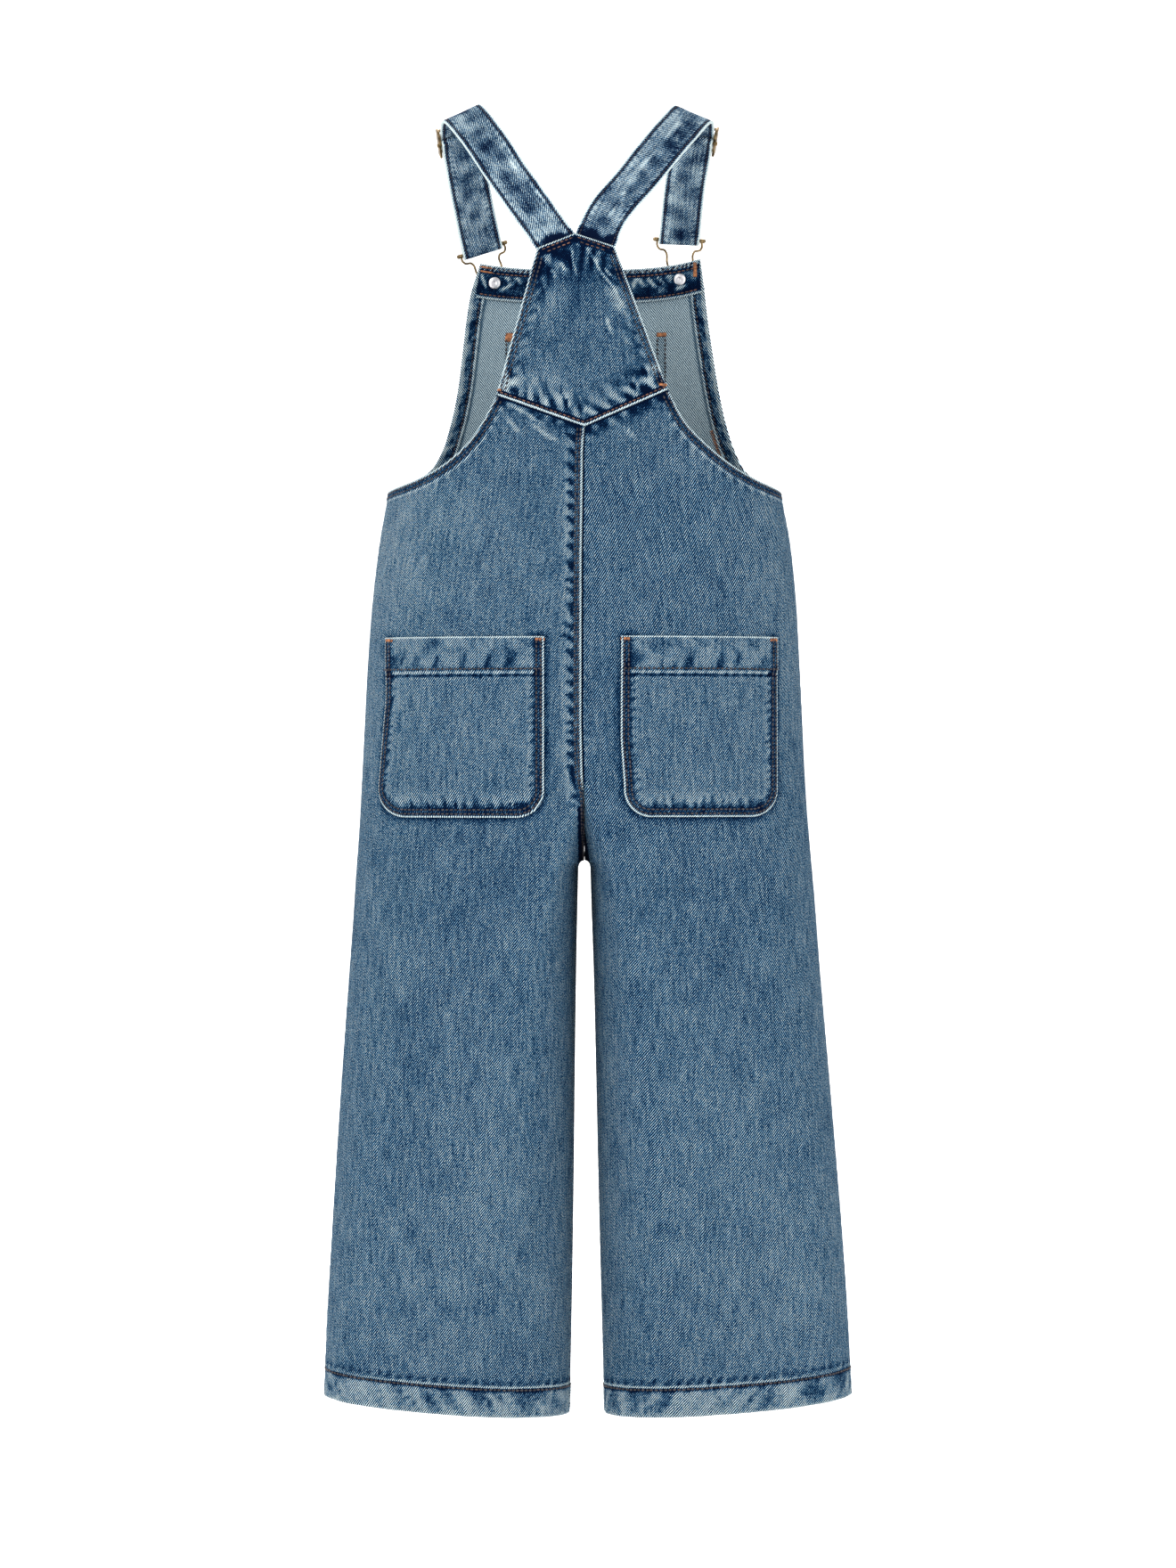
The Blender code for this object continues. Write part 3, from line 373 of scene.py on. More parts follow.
def noise(x, y, seed):
    """Smooth noise from 0 to 1, about one bump per unit."""
    x, y = np.broadcast_arrays(np.asarray(x, float), np.asarray(y, float))
    i, j = np.floor(x), np.floor(y)
    fx, fy = (x - i) ** 2 * (3 - 2 * (x - i)), (y - j) ** 2 * (3 - 2 * (y - j))

    def corner(a, b):
        mixed = np.sin(a * 127.1 + b * 311.7 + seed * 74.7) * 43758.5453
        return mixed - np.floor(mixed)

    low = corner(i, j) * (1 - fx) + corner(i + 1, j) * fx
    high = corner(i, j + 1) * (1 - fx) + corner(i + 1, j + 1) * fx
    return low * (1 - fy) + high * fy


# Soft creases: the line that each follows, as seen from behind or in front, its half-width and height
CREASE_COLUMNS = ("side", "face", "x0", "z0", "x1", "z1", "width", "rise")
CREASES = (
    (LEFT, BACK, 30, -560, 118, -640, 13, -1.5),
    (LEFT, BACK, 22, -588, 100, -690, 11, 1.3),
    (LEFT, BACK, 60, -700, 92, -900, 12, 1.1),
    (LEFT, BACK, 120, -650, 150, -860, 13, -1.3),
    (LEFT, BACK, 30, -800, 60, -960, 10, -1.0),
    (LEFT, BACK, 150, -330, 92, -392, 12, 1.2),
    (LEFT, BACK, 140, -312, 60, -352, 10, -0.9),
    (LEFT, BACK, 162, -560, 130, -700, 11, 1.2),
    (RIGHT, BACK, 30, -566, 126, -628, 13, -1.5),
    (RIGHT, BACK, 24, -600, 84, -724, 11, 1.3),
    (RIGHT, BACK, 70, -720, 112, -940, 12, 1.1),
    (RIGHT, BACK, 128, -690, 168, -900, 12, -1.2),
    (RIGHT, BACK, 36, -820, 70, -975, 10, -1.0),
    (RIGHT, BACK, 146, -322, 96, -396, 12, 1.2),
    (RIGHT, BACK, 130, -306, 52, -340, 10, -0.9),
    (RIGHT, BACK, 160, -545, 136, -680, 11, 1.2),
    (LEFT, FRONT, 26, -556, 112, -604, 12, -1.7),
    (LEFT, FRONT, 24, -584, 104, -668, 11, 1.5),
    (LEFT, FRONT, 66, -716, 104, -930, 12, 1.2),
    (LEFT, FRONT, 126, -640, 160, -850, 13, -1.3),
    (LEFT, FRONT, 146, -392, 84, -462, 13, 1.3),
    (LEFT, FRONT, 60, -372, 30, -520, 12, -1.2),
    (RIGHT, FRONT, 26, -552, 118, -612, 12, -1.7),
    (RIGHT, FRONT, 22, -592, 96, -694, 11, 1.5),
    (RIGHT, FRONT, 72, -700, 100, -915, 12, 1.2),
    (RIGHT, FRONT, 130, -660, 164, -880, 13, -1.3),
    (RIGHT, FRONT, 148, -388, 88, -470, 13, 1.3),
    (RIGHT, FRONT, 66, -376, 34, -530, 12, -1.2),
)


def off_line(x, z, start, end):
    """Distance from a straight line's stretch, and the share of the way along it."""
    dx, dz = end[0] - start[0], end[1] - start[1]
    length = math.hypot(dx, dz)
    share = ((x - start[0]) * dx + (z - start[1]) * dz) / length**2
    return ((x - start[0]) * dz - (z - start[1]) * dx) / length, share


def crease_rise(side, face, points):
    """How far the soft creases lift the cloth: each wanders a little and fades at both ends."""
    x, z = points[..., 0], points[..., 2]
    rise = np.zeros(x.shape)
    for k, row in enumerate(CREASES):
        crease = dict(zip(CREASE_COLUMNS, row))
        if (crease["side"], crease["face"]) != (side, face):
            continue
        start, end = (crease["x0"], crease["z0"]), (crease["x1"], crease["z1"])
        off, share = off_line(x, z, start, end)
        off = off + 5.0 * np.sin(share * 4.2 + k)
        ends = ramp(share, -0.1, 0.35) * fall(share, 0.6, 1.1)
        rise += crease["rise"] * np.exp(-((off / crease["width"]) ** 2)) * ends
    return rise


# Faded and darker places: middle as seen from behind or in front, half-widths and how much lighter
FADE_COLUMNS = ("side", "face", "x", "z", "wide", "tall", "lighter")
FADES = (
    (LEFT, BACK, 150, -345, 24, 56, 0.7),
    (LEFT, BACK, 118, -312, 36, 24, 0.3),
    (LEFT, BACK, 96, -350, 46, 60, 0.2),
    (LEFT, BACK, 160, -470, 16, 70, 0.45),
    (LEFT, BACK, 20, -450, 14, 90, 0.15),
    (RIGHT, BACK, 140, -350, 22, 60, 0.3),
    (RIGHT, BACK, 60, -330, 46, 60, 0.12),
    (RIGHT, BACK, 155, -430, 14, 60, 0.35),
    (LEFT, BACK, 100, -850, 130, 170, 0.3),
    (RIGHT, BACK, 150, -900, 36, 90, 0.3),
    (RIGHT, BACK, 96, -830, 110, 150, 0.25),
    (LEFT, BACK, 150, -600, 40, 70, -0.1),
    (LEFT, BACK, 60, -640, 40, 70, -0.12),
    (RIGHT, BACK, 70, -620, 50, 70, -0.12),
    (LEFT, FRONT, 84, -690, 46, 120, 0.35),
    (RIGHT, FRONT, 84, -690, 46, 120, 0.35),
    (LEFT, FRONT, 70, -830, 40, 70, 0.25),
    (RIGHT, FRONT, 74, -830, 40, 70, 0.25),
    (LEFT, FRONT, 146, -420, 20, 70, 0.35),
    (RIGHT, FRONT, 144, -420, 20, 70, 0.35),
)


def faded(side, face, points):
    """How much lighter (+) or darker (-) the cloth is at these places."""
    x, z = np.abs(points[..., 0]), points[..., 2]
    tone = np.zeros(x.shape)
    for row in FADES:
        fade = dict(zip(FADE_COLUMNS, row))
        if (fade["side"], fade["face"]) == (side, face):
            far = ((x - fade["x"]) / fade["wide"]) ** 2 + ((z - fade["z"]) / fade["tall"]) ** 2
            tone += fade["lighter"] * np.exp(-far)
    return tone


def puckers(off, along, start, reach, pitch, slant, seed):
    """Waves from -1 to 1 beside a seam: they start `start` from it and die out after `reach`."""
    warp = (noise(along / (2.3 * pitch), 0.5, seed) - 0.5) * 1.6 * pitch
    wave = np.cos(2 * math.pi * (along + slant * off + warp) / pitch)
    size = 0.35 + 0.9 * noise(along / (1.7 * pitch), 3.5, seed + 1)
    far = reach * (0.55 + 0.9 * noise(along / (0.9 * pitch), 7.5, seed + 2))
    grown = wave * size * ramp(off, start - 0.8, start + 0.8)
    return grown * fall(off, start + 0.25 * far, start + far)


def along_rows(surface):
    """The distance along each row of a grid from its first point."""
    steps = np.linalg.norm(np.diff(surface, axis=1), axis=-1)
    return np.concatenate([np.zeros((len(surface), 1)), np.cumsum(steps, axis=1)], 1)


# How far the rows of stitches lie from the edge of a pocket, a back armhole and the bib's top (mm)
POCKET_ROWS = (2.5, 5.6)
ARM_ROWS = (2.3, 5.4)
BIB_TOP_ROWS = (5.8, 22.6)


def groove(off, at, half=0.55):
    """A narrow dip along a row of stitches, as a share of its depth."""
    return np.exp(-(((off - at) / half) ** 2))


def grooves(off, places, half=0.55):
    """Narrow dips along rows of stitches that lie side by side."""
    return sum(groove(off, at, half) for at in places)


# ---------------------------------------------------------------- meshes


def light_lines(x, z, lines, half):
    """How near each place is to the thin worn lines of creases, from 0 to 1; each line fades at its ends."""
    places = np.stack([x, z, 0 * x], -1)
    near = np.zeros(x.shape)
    for line in lines:
        path = np.array([(*point, 0.0) for point in line])
        off, at = path_distance(places, path)
        whole = along_path(path)[-1]
        wander = off + 0.5 * (noise(at / 3.0, 0.5, 3) - 0.5)
        ends = ramp(at, -0.01 * whole, 0.25 * whole) * fall(at, 0.75 * whole, 1.01 * whole)
        near = np.maximum(near, np.exp(-((wander / half) ** 2)) * (0.35 + 0.65 * ends))
    return near


def path_distance(points, path):
    """Each point's distance from a path and its place along it."""
    flat = points.reshape(-1, 3)
    length = along_path(path)
    start, step = path[:-1], np.diff(path, axis=0)
    square = np.maximum((step**2).sum(1), 1e-9)
    off, at = np.empty(len(flat)), np.empty(len(flat))
    for low in range(0, len(flat), 4000):
        part = flat[low : low + 4000]
        away = part[:, None] - start[None]
        t = np.clip((away * step).sum(-1) / square, 0, 1)
        far = np.linalg.norm(away - t[..., None] * step, axis=-1)
        k = far.argmin(1)
        rows = np.arange(len(part))
        off[low : low + 4000] = far[rows, k]
        at[low : low + 4000] = length[k] + t[rows, k] * (length[k + 1] - length[k])
    return off.reshape(points.shape[:-1]), at.reshape(points.shape[:-1])


def grid_normals(grid, like):
    """Unit normals of a grid of points, on the side that `like` points to."""
    normal = np.cross(np.gradient(grid, axis=0), np.gradient(grid, axis=1))
    normal /= np.maximum(np.linalg.norm(normal, axis=-1, keepdims=True), 1e-9)
    return normal * np.where((normal * like).sum(-1, keepdims=True) < 0, -1, 1)


def mesh_object(name, verts, faces, finishes, maps=None, face_finish=None):
    """A smooth mesh object in metres from millimetre points, riding on the root body."""
    mesh = bpy.data.meshes.new(name)
    mesh.from_pydata((np.asarray(verts) * MM).tolist(), [], [tuple(f) for f in faces])
    for finish in finishes:
        mesh.materials.append(finish)
    corners = np.empty(len(mesh.loops), int)
    mesh.loops.foreach_get("vertex_index", corners)
    for label, values in (maps or {}).items():
        layer = mesh.uv_layers.new(name=label)
        layer.uv.foreach_set("vector", np.asarray(values, np.float32)[corners].ravel())
    if face_finish is not None:
        mesh.polygons.foreach_set("material_index", np.asarray(face_finish, np.int32))
    mesh.shade_smooth()
    mesh.update()
    made = bpy.data.objects.new(name, mesh)
    bpy.context.scene.collection.objects.link(made)
    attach(made, "root")
    return made


def grid_faces(rows, cols, start):
    """Quads of a grid of vertices that is numbered row by row."""
    i, j = np.meshgrid(np.arange(rows - 1), np.arange(cols - 1), indexing="ij")
    a = (start + i * cols + j).ravel()
    return np.stack([a, a + 1, a + cols + 1, a + cols], 1)


def round_rim(rows, cols):
    """Vertex numbers round a grid's edge."""
    top = np.arange(cols)
    right = np.arange(1, rows) * cols + cols - 1
    bottom = (rows - 1) * cols + np.arange(cols - 2, -1, -1)
    left = np.arange(rows - 2, 0, -1) * cols
    return np.concatenate([top, right, bottom, left])


def cloth_wall(name, node, outer, inner, maps, inner_maps, finishes):
    """A closed wall between two grids of points. It stands for the frame's node of that name."""
    rows, cols = outer.shape[:2]
    count = rows * cols
    rim = round_rim(rows, cols)
    ahead = np.roll(rim, -1)
    sides = np.stack([rim, ahead, ahead + count, rim + count], 1)
    inner_faces = grid_faces(rows, cols, count)[:, ::-1]
    faces = np.concatenate([grid_faces(rows, cols, 0), inner_faces, sides[:, ::-1]])
    verts = np.concatenate([outer.reshape(-1, 3), inner.reshape(-1, 3)])
    middle = outer[rows // 2, cols // 2]
    near = outer[rows // 2 + 1, cols // 2] - middle
    across = outer[rows // 2, cols // 2 + 1] - middle
    if np.dot(np.cross(across, near), middle - inner[rows // 2, cols // 2]) < 0:
        faces = faces[:, ::-1]
    both = {}
    for label, values in maps.items():
        within = inner_maps.get(label, values)
        both[label] = np.concatenate([values.reshape(-1, 2), within.reshape(-1, 2)])
    cells = (rows - 1) * (cols - 1)
    face_finish = np.concatenate([np.zeros(cells), np.ones(cells), np.zeros(len(sides))])
    made = mesh_object(name, verts, faces, finishes, both, face_finish)
    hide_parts(node)


EDGE_ROUND = 1.3


class Wall:
    """A cloth wall worked out from a smooth surface: its relief, thickness, edges and maps."""

    def __init__(self, name, node, surface, normal, thick, edge):
        self.name, self.node = name, node
        self.surface, self.normal = surface, normal
        self.thick, self.edge = thick, edge
        self.relief = np.zeros(edge.shape)
        self.wear_and_shade = np.zeros(edge.shape)
        self.fade = np.zeros(edge.shape)
        self.turned = np.zeros(edge.shape) - 1.0
        self.apart = (0, 0)
        self.under = None
        self.inner_wear_and_shade = None

    def build(self, u, v, finishes, slot="denim"):
        """Make the mesh, and give back the two faces as surfaces to sew on."""
        closing = 1 - np.sqrt(1 - (1 - np.clip(self.edge / EDGE_ROUND, 0, 1)) ** 2)
        pinch = 0.38 * self.thick * closing
        under = self.relief if self.under is None else self.under
        outer = self.surface + self.normal * (self.relief - pinch)[..., None]
        inner = self.surface + self.normal * (under - self.thick + pinch)[..., None]
        outer, inner = keep_apart(outer, *self.apart), keep_apart(inner, *self.apart)
        maps = {
            "cloth": np.stack([u, v], -1),
            "tone": np.stack([self.wear_and_shade, self.fade], -1),
            "turned": np.stack([self.turned, self.turned], -1),
        }
        inner_wear_and_shade = self.wear_and_shade if self.inner_wear_and_shade is None else self.inner_wear_and_shade
        inner_maps = {"tone": np.stack([inner_wear_and_shade, self.fade], -1)}
        cloth_wall(self.name, self.node, outer, inner, maps, inner_maps, finishes)
        return Surface(outer, self.normal), Surface(inner, -self.normal)


class Surface:
    """A grid of points that stitches can be laid on."""

    def __init__(self, grid, like):
        rows, cols = grid.shape[:2]
        self.grid, self.normals, self.smooth = grid, grid_normals(grid, like), like
        faces = grid_faces(rows, cols, 0)
        self.tree = BVHTree.FromPolygons(grid.reshape(-1, 3).tolist(), faces.tolist())

    def snap(self, points, smooth=False):
        """The nearest places on the grid, and the outward normals there, with or without the relief."""
        cells = self.grid.shape[1] - 1
        normals = self.smooth if smooth else self.normals
        placed, outs = [], []
        for point in points:
            found, _, index, _ = self.tree.find_nearest(Vector(point))
            placed.append(found)
            outs.append(normals[divmod(index, cells)])
        return np.array(placed), np.array(outs)

    def inset(self, path, far, trim=(0.0, 0.0)):
        """The line at a distance from a path, towards the grid's middle, cut short at its ends."""
        ahead = np.gradient(path, axis=0)
        ahead /= np.linalg.norm(ahead, axis=1, keepdims=True)
        beside = np.cross(self.snap(path, smooth=True)[1], ahead)
        inward = self.grid.mean((0, 1)) - path
        sign = math.copysign(1.0, (beside * inward).sum())
        line = path + beside * sign * far
        length = along_path(line)[-1]
        return spread(line, np.linspace(trim[0], length - trim[1], max(2, round(length / 1.5))))


def spread(path, at):
    """Points at these distances along a path."""
    length = along_path(path)
    return np.stack([np.interp(at, length, path[:, k]) for k in range(3)], -1)


# ---------------------------------------------------------------- materials


def srgb(red, green, blue):
    """A colour given as 0-255 sRGB numbers, as linear light."""
    parts = [c / 255 for c in (red, green, blue)]
    return (*[c / 12.92 if c <= 0.04045 else ((c + 0.055) / 1.055) ** 2.4 for c in parts], 1.0)


class Nodes:
    """A material's node tree, with short ways to add its nodes."""

    def __init__(self, name, roughness, metallic=0.0):
        self.material = bpy.data.materials.new(name)
        self.material.use_nodes = True
        self.tree = self.material.node_tree
        self.shader = self.tree.nodes["Principled BSDF"]
        self.set("Roughness", roughness)
        self.set("Metallic", metallic)

    def set(self, name, value):
        self.feed(self.shader.inputs[name], value)

    def feed(self, socket, value):
        if isinstance(value, bpy.types.NodeSocket):
            self.tree.links.new(value, socket)
        else:
            socket.default_value = value

    def math(self, operation, *values, clamp=False):
        made = self.tree.nodes.new("ShaderNodeMath")
        made.operation, made.use_clamp = operation, clamp
        for socket, value in zip(made.inputs, values):
            self.feed(socket, value)
        return made.outputs[0]

    def total(self, *parts):
        """The sum of (value, weight) pairs and bare values."""
        result = 0.0
        for part in parts:
            value, weight = part if isinstance(part, tuple) else (part, 1.0)
            result = self.math("MULTIPLY_ADD", value, weight, result)
        return result

    def uv(self, label):
        made = self.tree.nodes.new("ShaderNodeUVMap")
        made.uv_map = label
        parts = self.tree.nodes.new("ShaderNodeSeparateXYZ")
        self.feed(parts.inputs[0], made.outputs[0])
        return parts.outputs[0], parts.outputs[1]

    def noise(self, u, v, u_scale, v_scale, detail=1.0, seed=0.0):
        """Noise from 0 to 1 around 0.5, with its bumps 1/scale metres across and up."""
        where = self.tree.nodes.new("ShaderNodeCombineXYZ")
        self.feed(where.inputs[0], self.math("MULTIPLY", u, u_scale))
        self.feed(where.inputs[1], self.math("MULTIPLY", v, v_scale))
        where.inputs[2].default_value = seed
        made = self.tree.nodes.new("ShaderNodeTexNoise")
        self.feed(made.inputs["Vector"], where.outputs[0])
        made.inputs["Scale"].default_value = 1.0
        made.inputs["Detail"].default_value = detail
        return made.outputs["Fac"]

    def flecks(self, scale, detail=2.0):
        """Noise from 0 to 1 that stays with the object, with its bumps 1/scale metres wide."""
        place = self.tree.nodes.new("ShaderNodeTexCoord").outputs["Object"]
        made = self.tree.nodes.new("ShaderNodeTexNoise")
        self.feed(made.inputs["Vector"], place)
        made.inputs["Scale"].default_value = scale
        made.inputs["Detail"].default_value = detail
        return made.outputs["Fac"]

    def colours(self, value, stops):
        made = self.tree.nodes.new("ShaderNodeValToRGB")
        while len(made.color_ramp.elements) < len(stops):
            made.color_ramp.elements.new(0.5)
        for element, (place, colour) in zip(made.color_ramp.elements, stops):
            element.position, element.color = place, colour
        self.feed(made.inputs[0], value)
        return made.outputs[0]

    def mix(self, share, first, second):
        made = self.tree.nodes.new("ShaderNodeMix")
        made.data_type = "RGBA"
        self.feed(made.inputs["Factor"], share)
        self.feed(made.inputs["A"], first)
        self.feed(made.inputs["B"], second)
        return made.outputs["Result"]

    def bump(self, height, distance, strength=1.0):
        made = self.tree.nodes.new("ShaderNodeBump")
        self.feed(made.inputs["Height"], height)
        made.inputs["Distance"].default_value = distance
        made.inputs["Strength"].default_value = strength
        self.set("Normal", made.outputs[0])


TWILL_PITCH = 0.00137
TWILL_ANGLE = math.radians(52.6)
INDIGO = (
    (0.0, srgb(0, 12, 36)),
    (0.25, srgb(0, 40, 76)),
    (0.5, srgb(47, 104, 147)),
    (0.75, srgb(134, 182, 212)),
    (0.92, srgb(190, 218, 230)),
    (1.0, srgb(220, 234, 232)),
)
# The straps are worn greyer
WORN_INDIGO = (
    (0.0, srgb(4, 16, 40)),
    (0.25, srgb(18, 46, 76)),
    (0.5, srgb(66, 102, 132)),
    (0.75, srgb(134, 164, 184)),
    (1.0, srgb(206, 220, 220)),
)
WRONG_SIDE = (
    (0.00, srgb(40, 66, 86)),
    (0.35, srgb(90, 120, 141)),
    (0.60, srgb(137, 162, 176)),
    (1.00, srgb(202, 220, 224)),
)
# How much each part of the pattern changes the tone: twill lines, yarn grain, slub streaks, mottling, clouds
OUTSIDE_WEIGHTS = (2.2, 1.6, 0.75, 0.24, 0.1)
STRAP_WEIGHTS = (0.8, 2.0, 0.9, 0.5, 0.2)
INSIDE_WEIGHTS = (2.6, 1.7, 0.4, 0.12, 0.3)
WEAR_AND_SHADE_WEIGHT, FADE_WEIGHT = 0.5, 0.22


def weave(n):
    """The parts of the denim's pattern: twill lines, yarn grain, slub streaks and soft mottling."""
    u, v = n.uv("cloth")
    sine, cosine = math.sin(TWILL_ANGLE), math.cos(TWILL_ANGLE)
    across, along = n.total((u, sine), (v, -cosine)), n.total((u, cosine), (v, sine))
    wander = n.noise(u, v, 160, 90, 2)
    lines = n.total((across, 1 / TWILL_PITCH), (wander, 0.8))
    twill = n.math("MULTIPLY_ADD", n.math("SINE", n.math("MULTIPLY", lines, 2 * math.pi)), 0.5, 0.5)
    grain = n.noise(across, along, 1700, 1150, 1, 3)
    slub = n.noise(u, v, 620, 50, 2, 7)
    mottle = n.noise(u, v, 60, 24, 3, 11)
    cloud = n.noise(u, v, 13, 7, 2, 17)
    return twill, grain, slub, mottle, cloud


def pattern(n, parts, weights, base):
    """The weighted sum of the pattern's parts, with `base` as its middle."""
    pairs = list(zip(parts, weights))
    return n.total(*pairs, base - sum(weights) / 2)


def outside_tone(n, parts, base, weights=OUTSIDE_WEIGHTS):
    """The denim's tone from 0 (unworn indigo) to 1 (worn white)."""
    wear_and_shade, fade = n.uv("tone")
    return n.total((wear_and_shade, WEAR_AND_SHADE_WEIGHT), (fade, FADE_WEIGHT), pattern(n, parts, weights, base))


def denim(name, base, weights=OUTSIDE_WEIGHTS, colours=INDIGO):
    """The right side of the denim."""
    n = Nodes(name, 0.9)
    parts = weave(n)
    n.set("Base Color", n.colours(outside_tone(n, parts, base, weights), colours))
    n.set("Specular IOR Level", 0.04)
    n.bump(n.total((parts[0], 0.5), (parts[1], 1.2)), 0.0003)
    return n.material


def wrong_side(name):
    """The denim's paler wrong side, and its right side where a hem is turned in."""
    n = Nodes(name, 0.92)
    parts = weave(n)
    wear_and_shade, _ = n.uv("tone")
    inside = n.total((wear_and_shade, 0.3), pattern(n, parts, INSIDE_WEIGHTS, 0.1))
    right_side = n.colours(outside_tone(n, parts, -0.33), INDIGO)
    depth, _ = n.uv("turned")
    share = n.math("GREATER_THAN", depth, 0.0)
    n.set("Base Color", n.mix(share, n.colours(inside, WRONG_SIDE), right_side))
    n.set("Specular IOR Level", 0.04)
    n.bump(n.total((parts[0], 0.6), (parts[1], 1.0)), 0.0003)
    return n.material


def thread(name, dark, light):
    """Twisted sewing thread: it darkens and lightens from stitch to stitch."""
    n = Nodes(name, 0.6)
    flecks = n.flecks(420.0)
    n.set("Base Color", n.colours(flecks, ((0.35, dark), (0.65, light))))
    n.bump(flecks, 0.0002)
    return n.material


def metal(name, dark, light, roughness):
    """Metal whose colour and gloss vary a little, darker where it is tarnished."""
    n = Nodes(name, roughness, 1.0)
    flecks = n.flecks(260.0, 3.0)
    n.set("Base Color", n.colours(flecks, ((0.35, dark), (0.62, light))))
    n.set("Roughness", n.math("MULTIPLY_ADD", flecks, 0.2, roughness - 0.1))
    n.bump(flecks, 0.00008)
    return n.material


BODY_DENIM = denim("denim_body", -0.32)
YOKE_DENIM = denim("denim_yoke", -0.3)
BAND_DENIM = denim("denim_band", -0.5)
STRAP_DENIM = denim("denim_strap", -0.12, STRAP_WEIGHTS, WORN_INDIGO)
INSIDE = wrong_side("denim_wrong_side")
BROWN_THREAD = thread("thread_brown", srgb(8, 8, 14), srgb(74, 68, 72))
RUST_THREAD = thread("thread_rust", srgb(30, 22, 26), srgb(128, 88, 70))
ORANGE_THREAD = thread("thread_orange", srgb(104, 60, 38), srgb(190, 122, 74))
BRASS = metal("brass_antique", srgb(70, 58, 40), srgb(158, 134, 98), 0.38)
SILVER = metal("rivet_silver", srgb(206, 202, 206), srgb(240, 238, 240), 0.42)

# ---------------------------------------------------------------- stitches

STITCH_LENGTH = 3.0
STITCH_PITCH = 3.45
STITCH_WIDTH = 1.3
STITCH_SIDES = 6


class Stitching:
    """Rows of stitches that are gathered into one mesh: each is a small closed bead of thread."""

    def __init__(self, name, finish):
        self.name, self.finish = name, finish
        self.centres, self.along, self.across, self.out = [], [], [], []

    def beads(self, centres, along, normals, length, width):
        along = along / np.maximum(np.linalg.norm(along, axis=1, keepdims=True), 1e-9)
        out = normals - along * (normals * along).sum(1, keepdims=True)
        out /= np.maximum(np.linalg.norm(out, axis=1, keepdims=True), 1e-9)
        across = np.cross(out, along)
        self.centres.append(centres + out * 0.12)
        self.along.append(along * length / 2)
        self.across.append(across * width / 2)
        self.out.append(out * width * 0.42)

    def row(self, surface, path, pitch=STITCH_PITCH, length=STITCH_LENGTH, width=STITCH_WIDTH):
        """Stitches end to end along a path on a surface."""
        whole = along_path(path)[-1]
        count = max(1, int(whole / pitch))
        places = (np.arange(count) + 0.5) * whole / count
        ahead = spread(path, places + length / 2) - spread(path, places - length / 2)
        centres, outs = surface.snap(spread(path, places))
        self.beads(centres, ahead, outs, length, width)

    def bar(self, surface, start, end, width, pitch=0.62, thread_width=0.85):
        """A bar tack: close stitches across the short way from start to end."""
        start, end = np.array(start, float), np.array(end, float)
        way = end - start
        whole = np.linalg.norm(way)
        places = np.arange(0.0, whole, pitch)
        centres, outs = surface.snap(start + way * (places / whole)[:, None])
        across = np.cross(outs, way)
        across /= np.maximum(np.linalg.norm(across, axis=1, keepdims=True), 1e-9)
        self.beads(centres + outs * 0.15, across + way / whole * 0.12, outs, width, thread_width)

    def build(self):
        centres, along, across, out = map(np.concatenate, (self.centres, self.along, self.across, self.out))
        angles = np.linspace(0, 2 * math.pi, STITCH_SIDES, endpoint=False)
        ring = np.stack([np.cos(angles), np.sin(angles)], -1)
        shape = [(-1.0, 0.0, 0.0)]
        shape += [(end * 0.5, c, s) for end in (-1, 1) for c, s in ring]
        shape += [(1.0, 0.0, 0.0)]
        shape = np.array(shape)
        verts = sum(shape[None, :, k, None] * part[:, None] for k, part in enumerate((along, across, out)))
        verts = (verts + centres[:, None]).reshape(-1, 3)
        n, last = STITCH_SIDES, 2 * STITCH_SIDES + 1
        around = [(s, (s + 1) % n) for s in range(n)]
        one = [(0, 1 + b, 1 + a) for a, b in around]
        one += [(1 + a, 1 + b, 1 + n + b, 1 + n + a) for a, b in around]
        one += [(last, 1 + n + a, 1 + n + b) for a, b in around]
        step = len(shape)
        faces = [tuple(v + k * step for v in face) for k in range(len(centres)) for face in one]
        made = mesh_object(self.name, verts, faces, [self.finish])


# ---------------------------------------------------------------- body panels

ARM_SHARE = 7 / 12
EDGE_STEPS = np.array([0.0, 0.45, 0.9, 1.4, 2.0, 2.8, 3.7, 4.7, 5.7, 6.8, 8.0, 9.4, 11.0, 13.0])
PANEL_COLUMNS = 58
SECTION_STEPS = 161
ROW_STEP = 2.3
CROTCH_ROWS = 30
HEM_ROWS = 22
TOP_ROWS = 34
SEAM_BAND = 6.6
SEAM_ROWS = (2.7, 5.1)
# The dark wedge at the crotch: where it starts, and its left and right ends there and at the crotch
SHADE_TOP = -532.0
SHADE_ENDS = {BACK: ((4.3, 4.0), (2.6, -3.3)), FRONT: ((1.5, 3.4), (-1.5, -3.4))}
ARM_BAND = 7.2
YOKE_BAND = 7.4
YOKE_ROWS = (2.4, 5.4)
POCKET_BAND = 7.6


def leg_z(share, x):
    """Height of a leg row at distance x from the middle; the last row is the hem's edge."""
    hem = HEM_INNER + HEM_RISE * (x / HEM_REACH) ** 2
    return CROTCH + share * (hem - CROTCH)


def column_shares(length):
    """Shares of a row's length for its columns: close together at both seams."""
    middle = np.linspace(EDGE_STEPS[-1], length - EDGE_STEPS[-1], PANEL_COLUMNS)
    return np.concatenate([EDGE_STEPS, middle[1:-1], length - EDGE_STEPS[::-1]]) / length


def row_columns(side, face, z):
    """The shares of the way round the section from the side seam at a row's columns, and their angles."""
    fine = np.linspace(math.pi / 2, float(seam_phi(z)), SECTION_STEPS)
    length = along_path(quarter(side, face, fine, np.full(fine.shape, z)))
    shares = column_shares(length[-1])
    return shares, np.interp(shares, length / length[-1], fine)


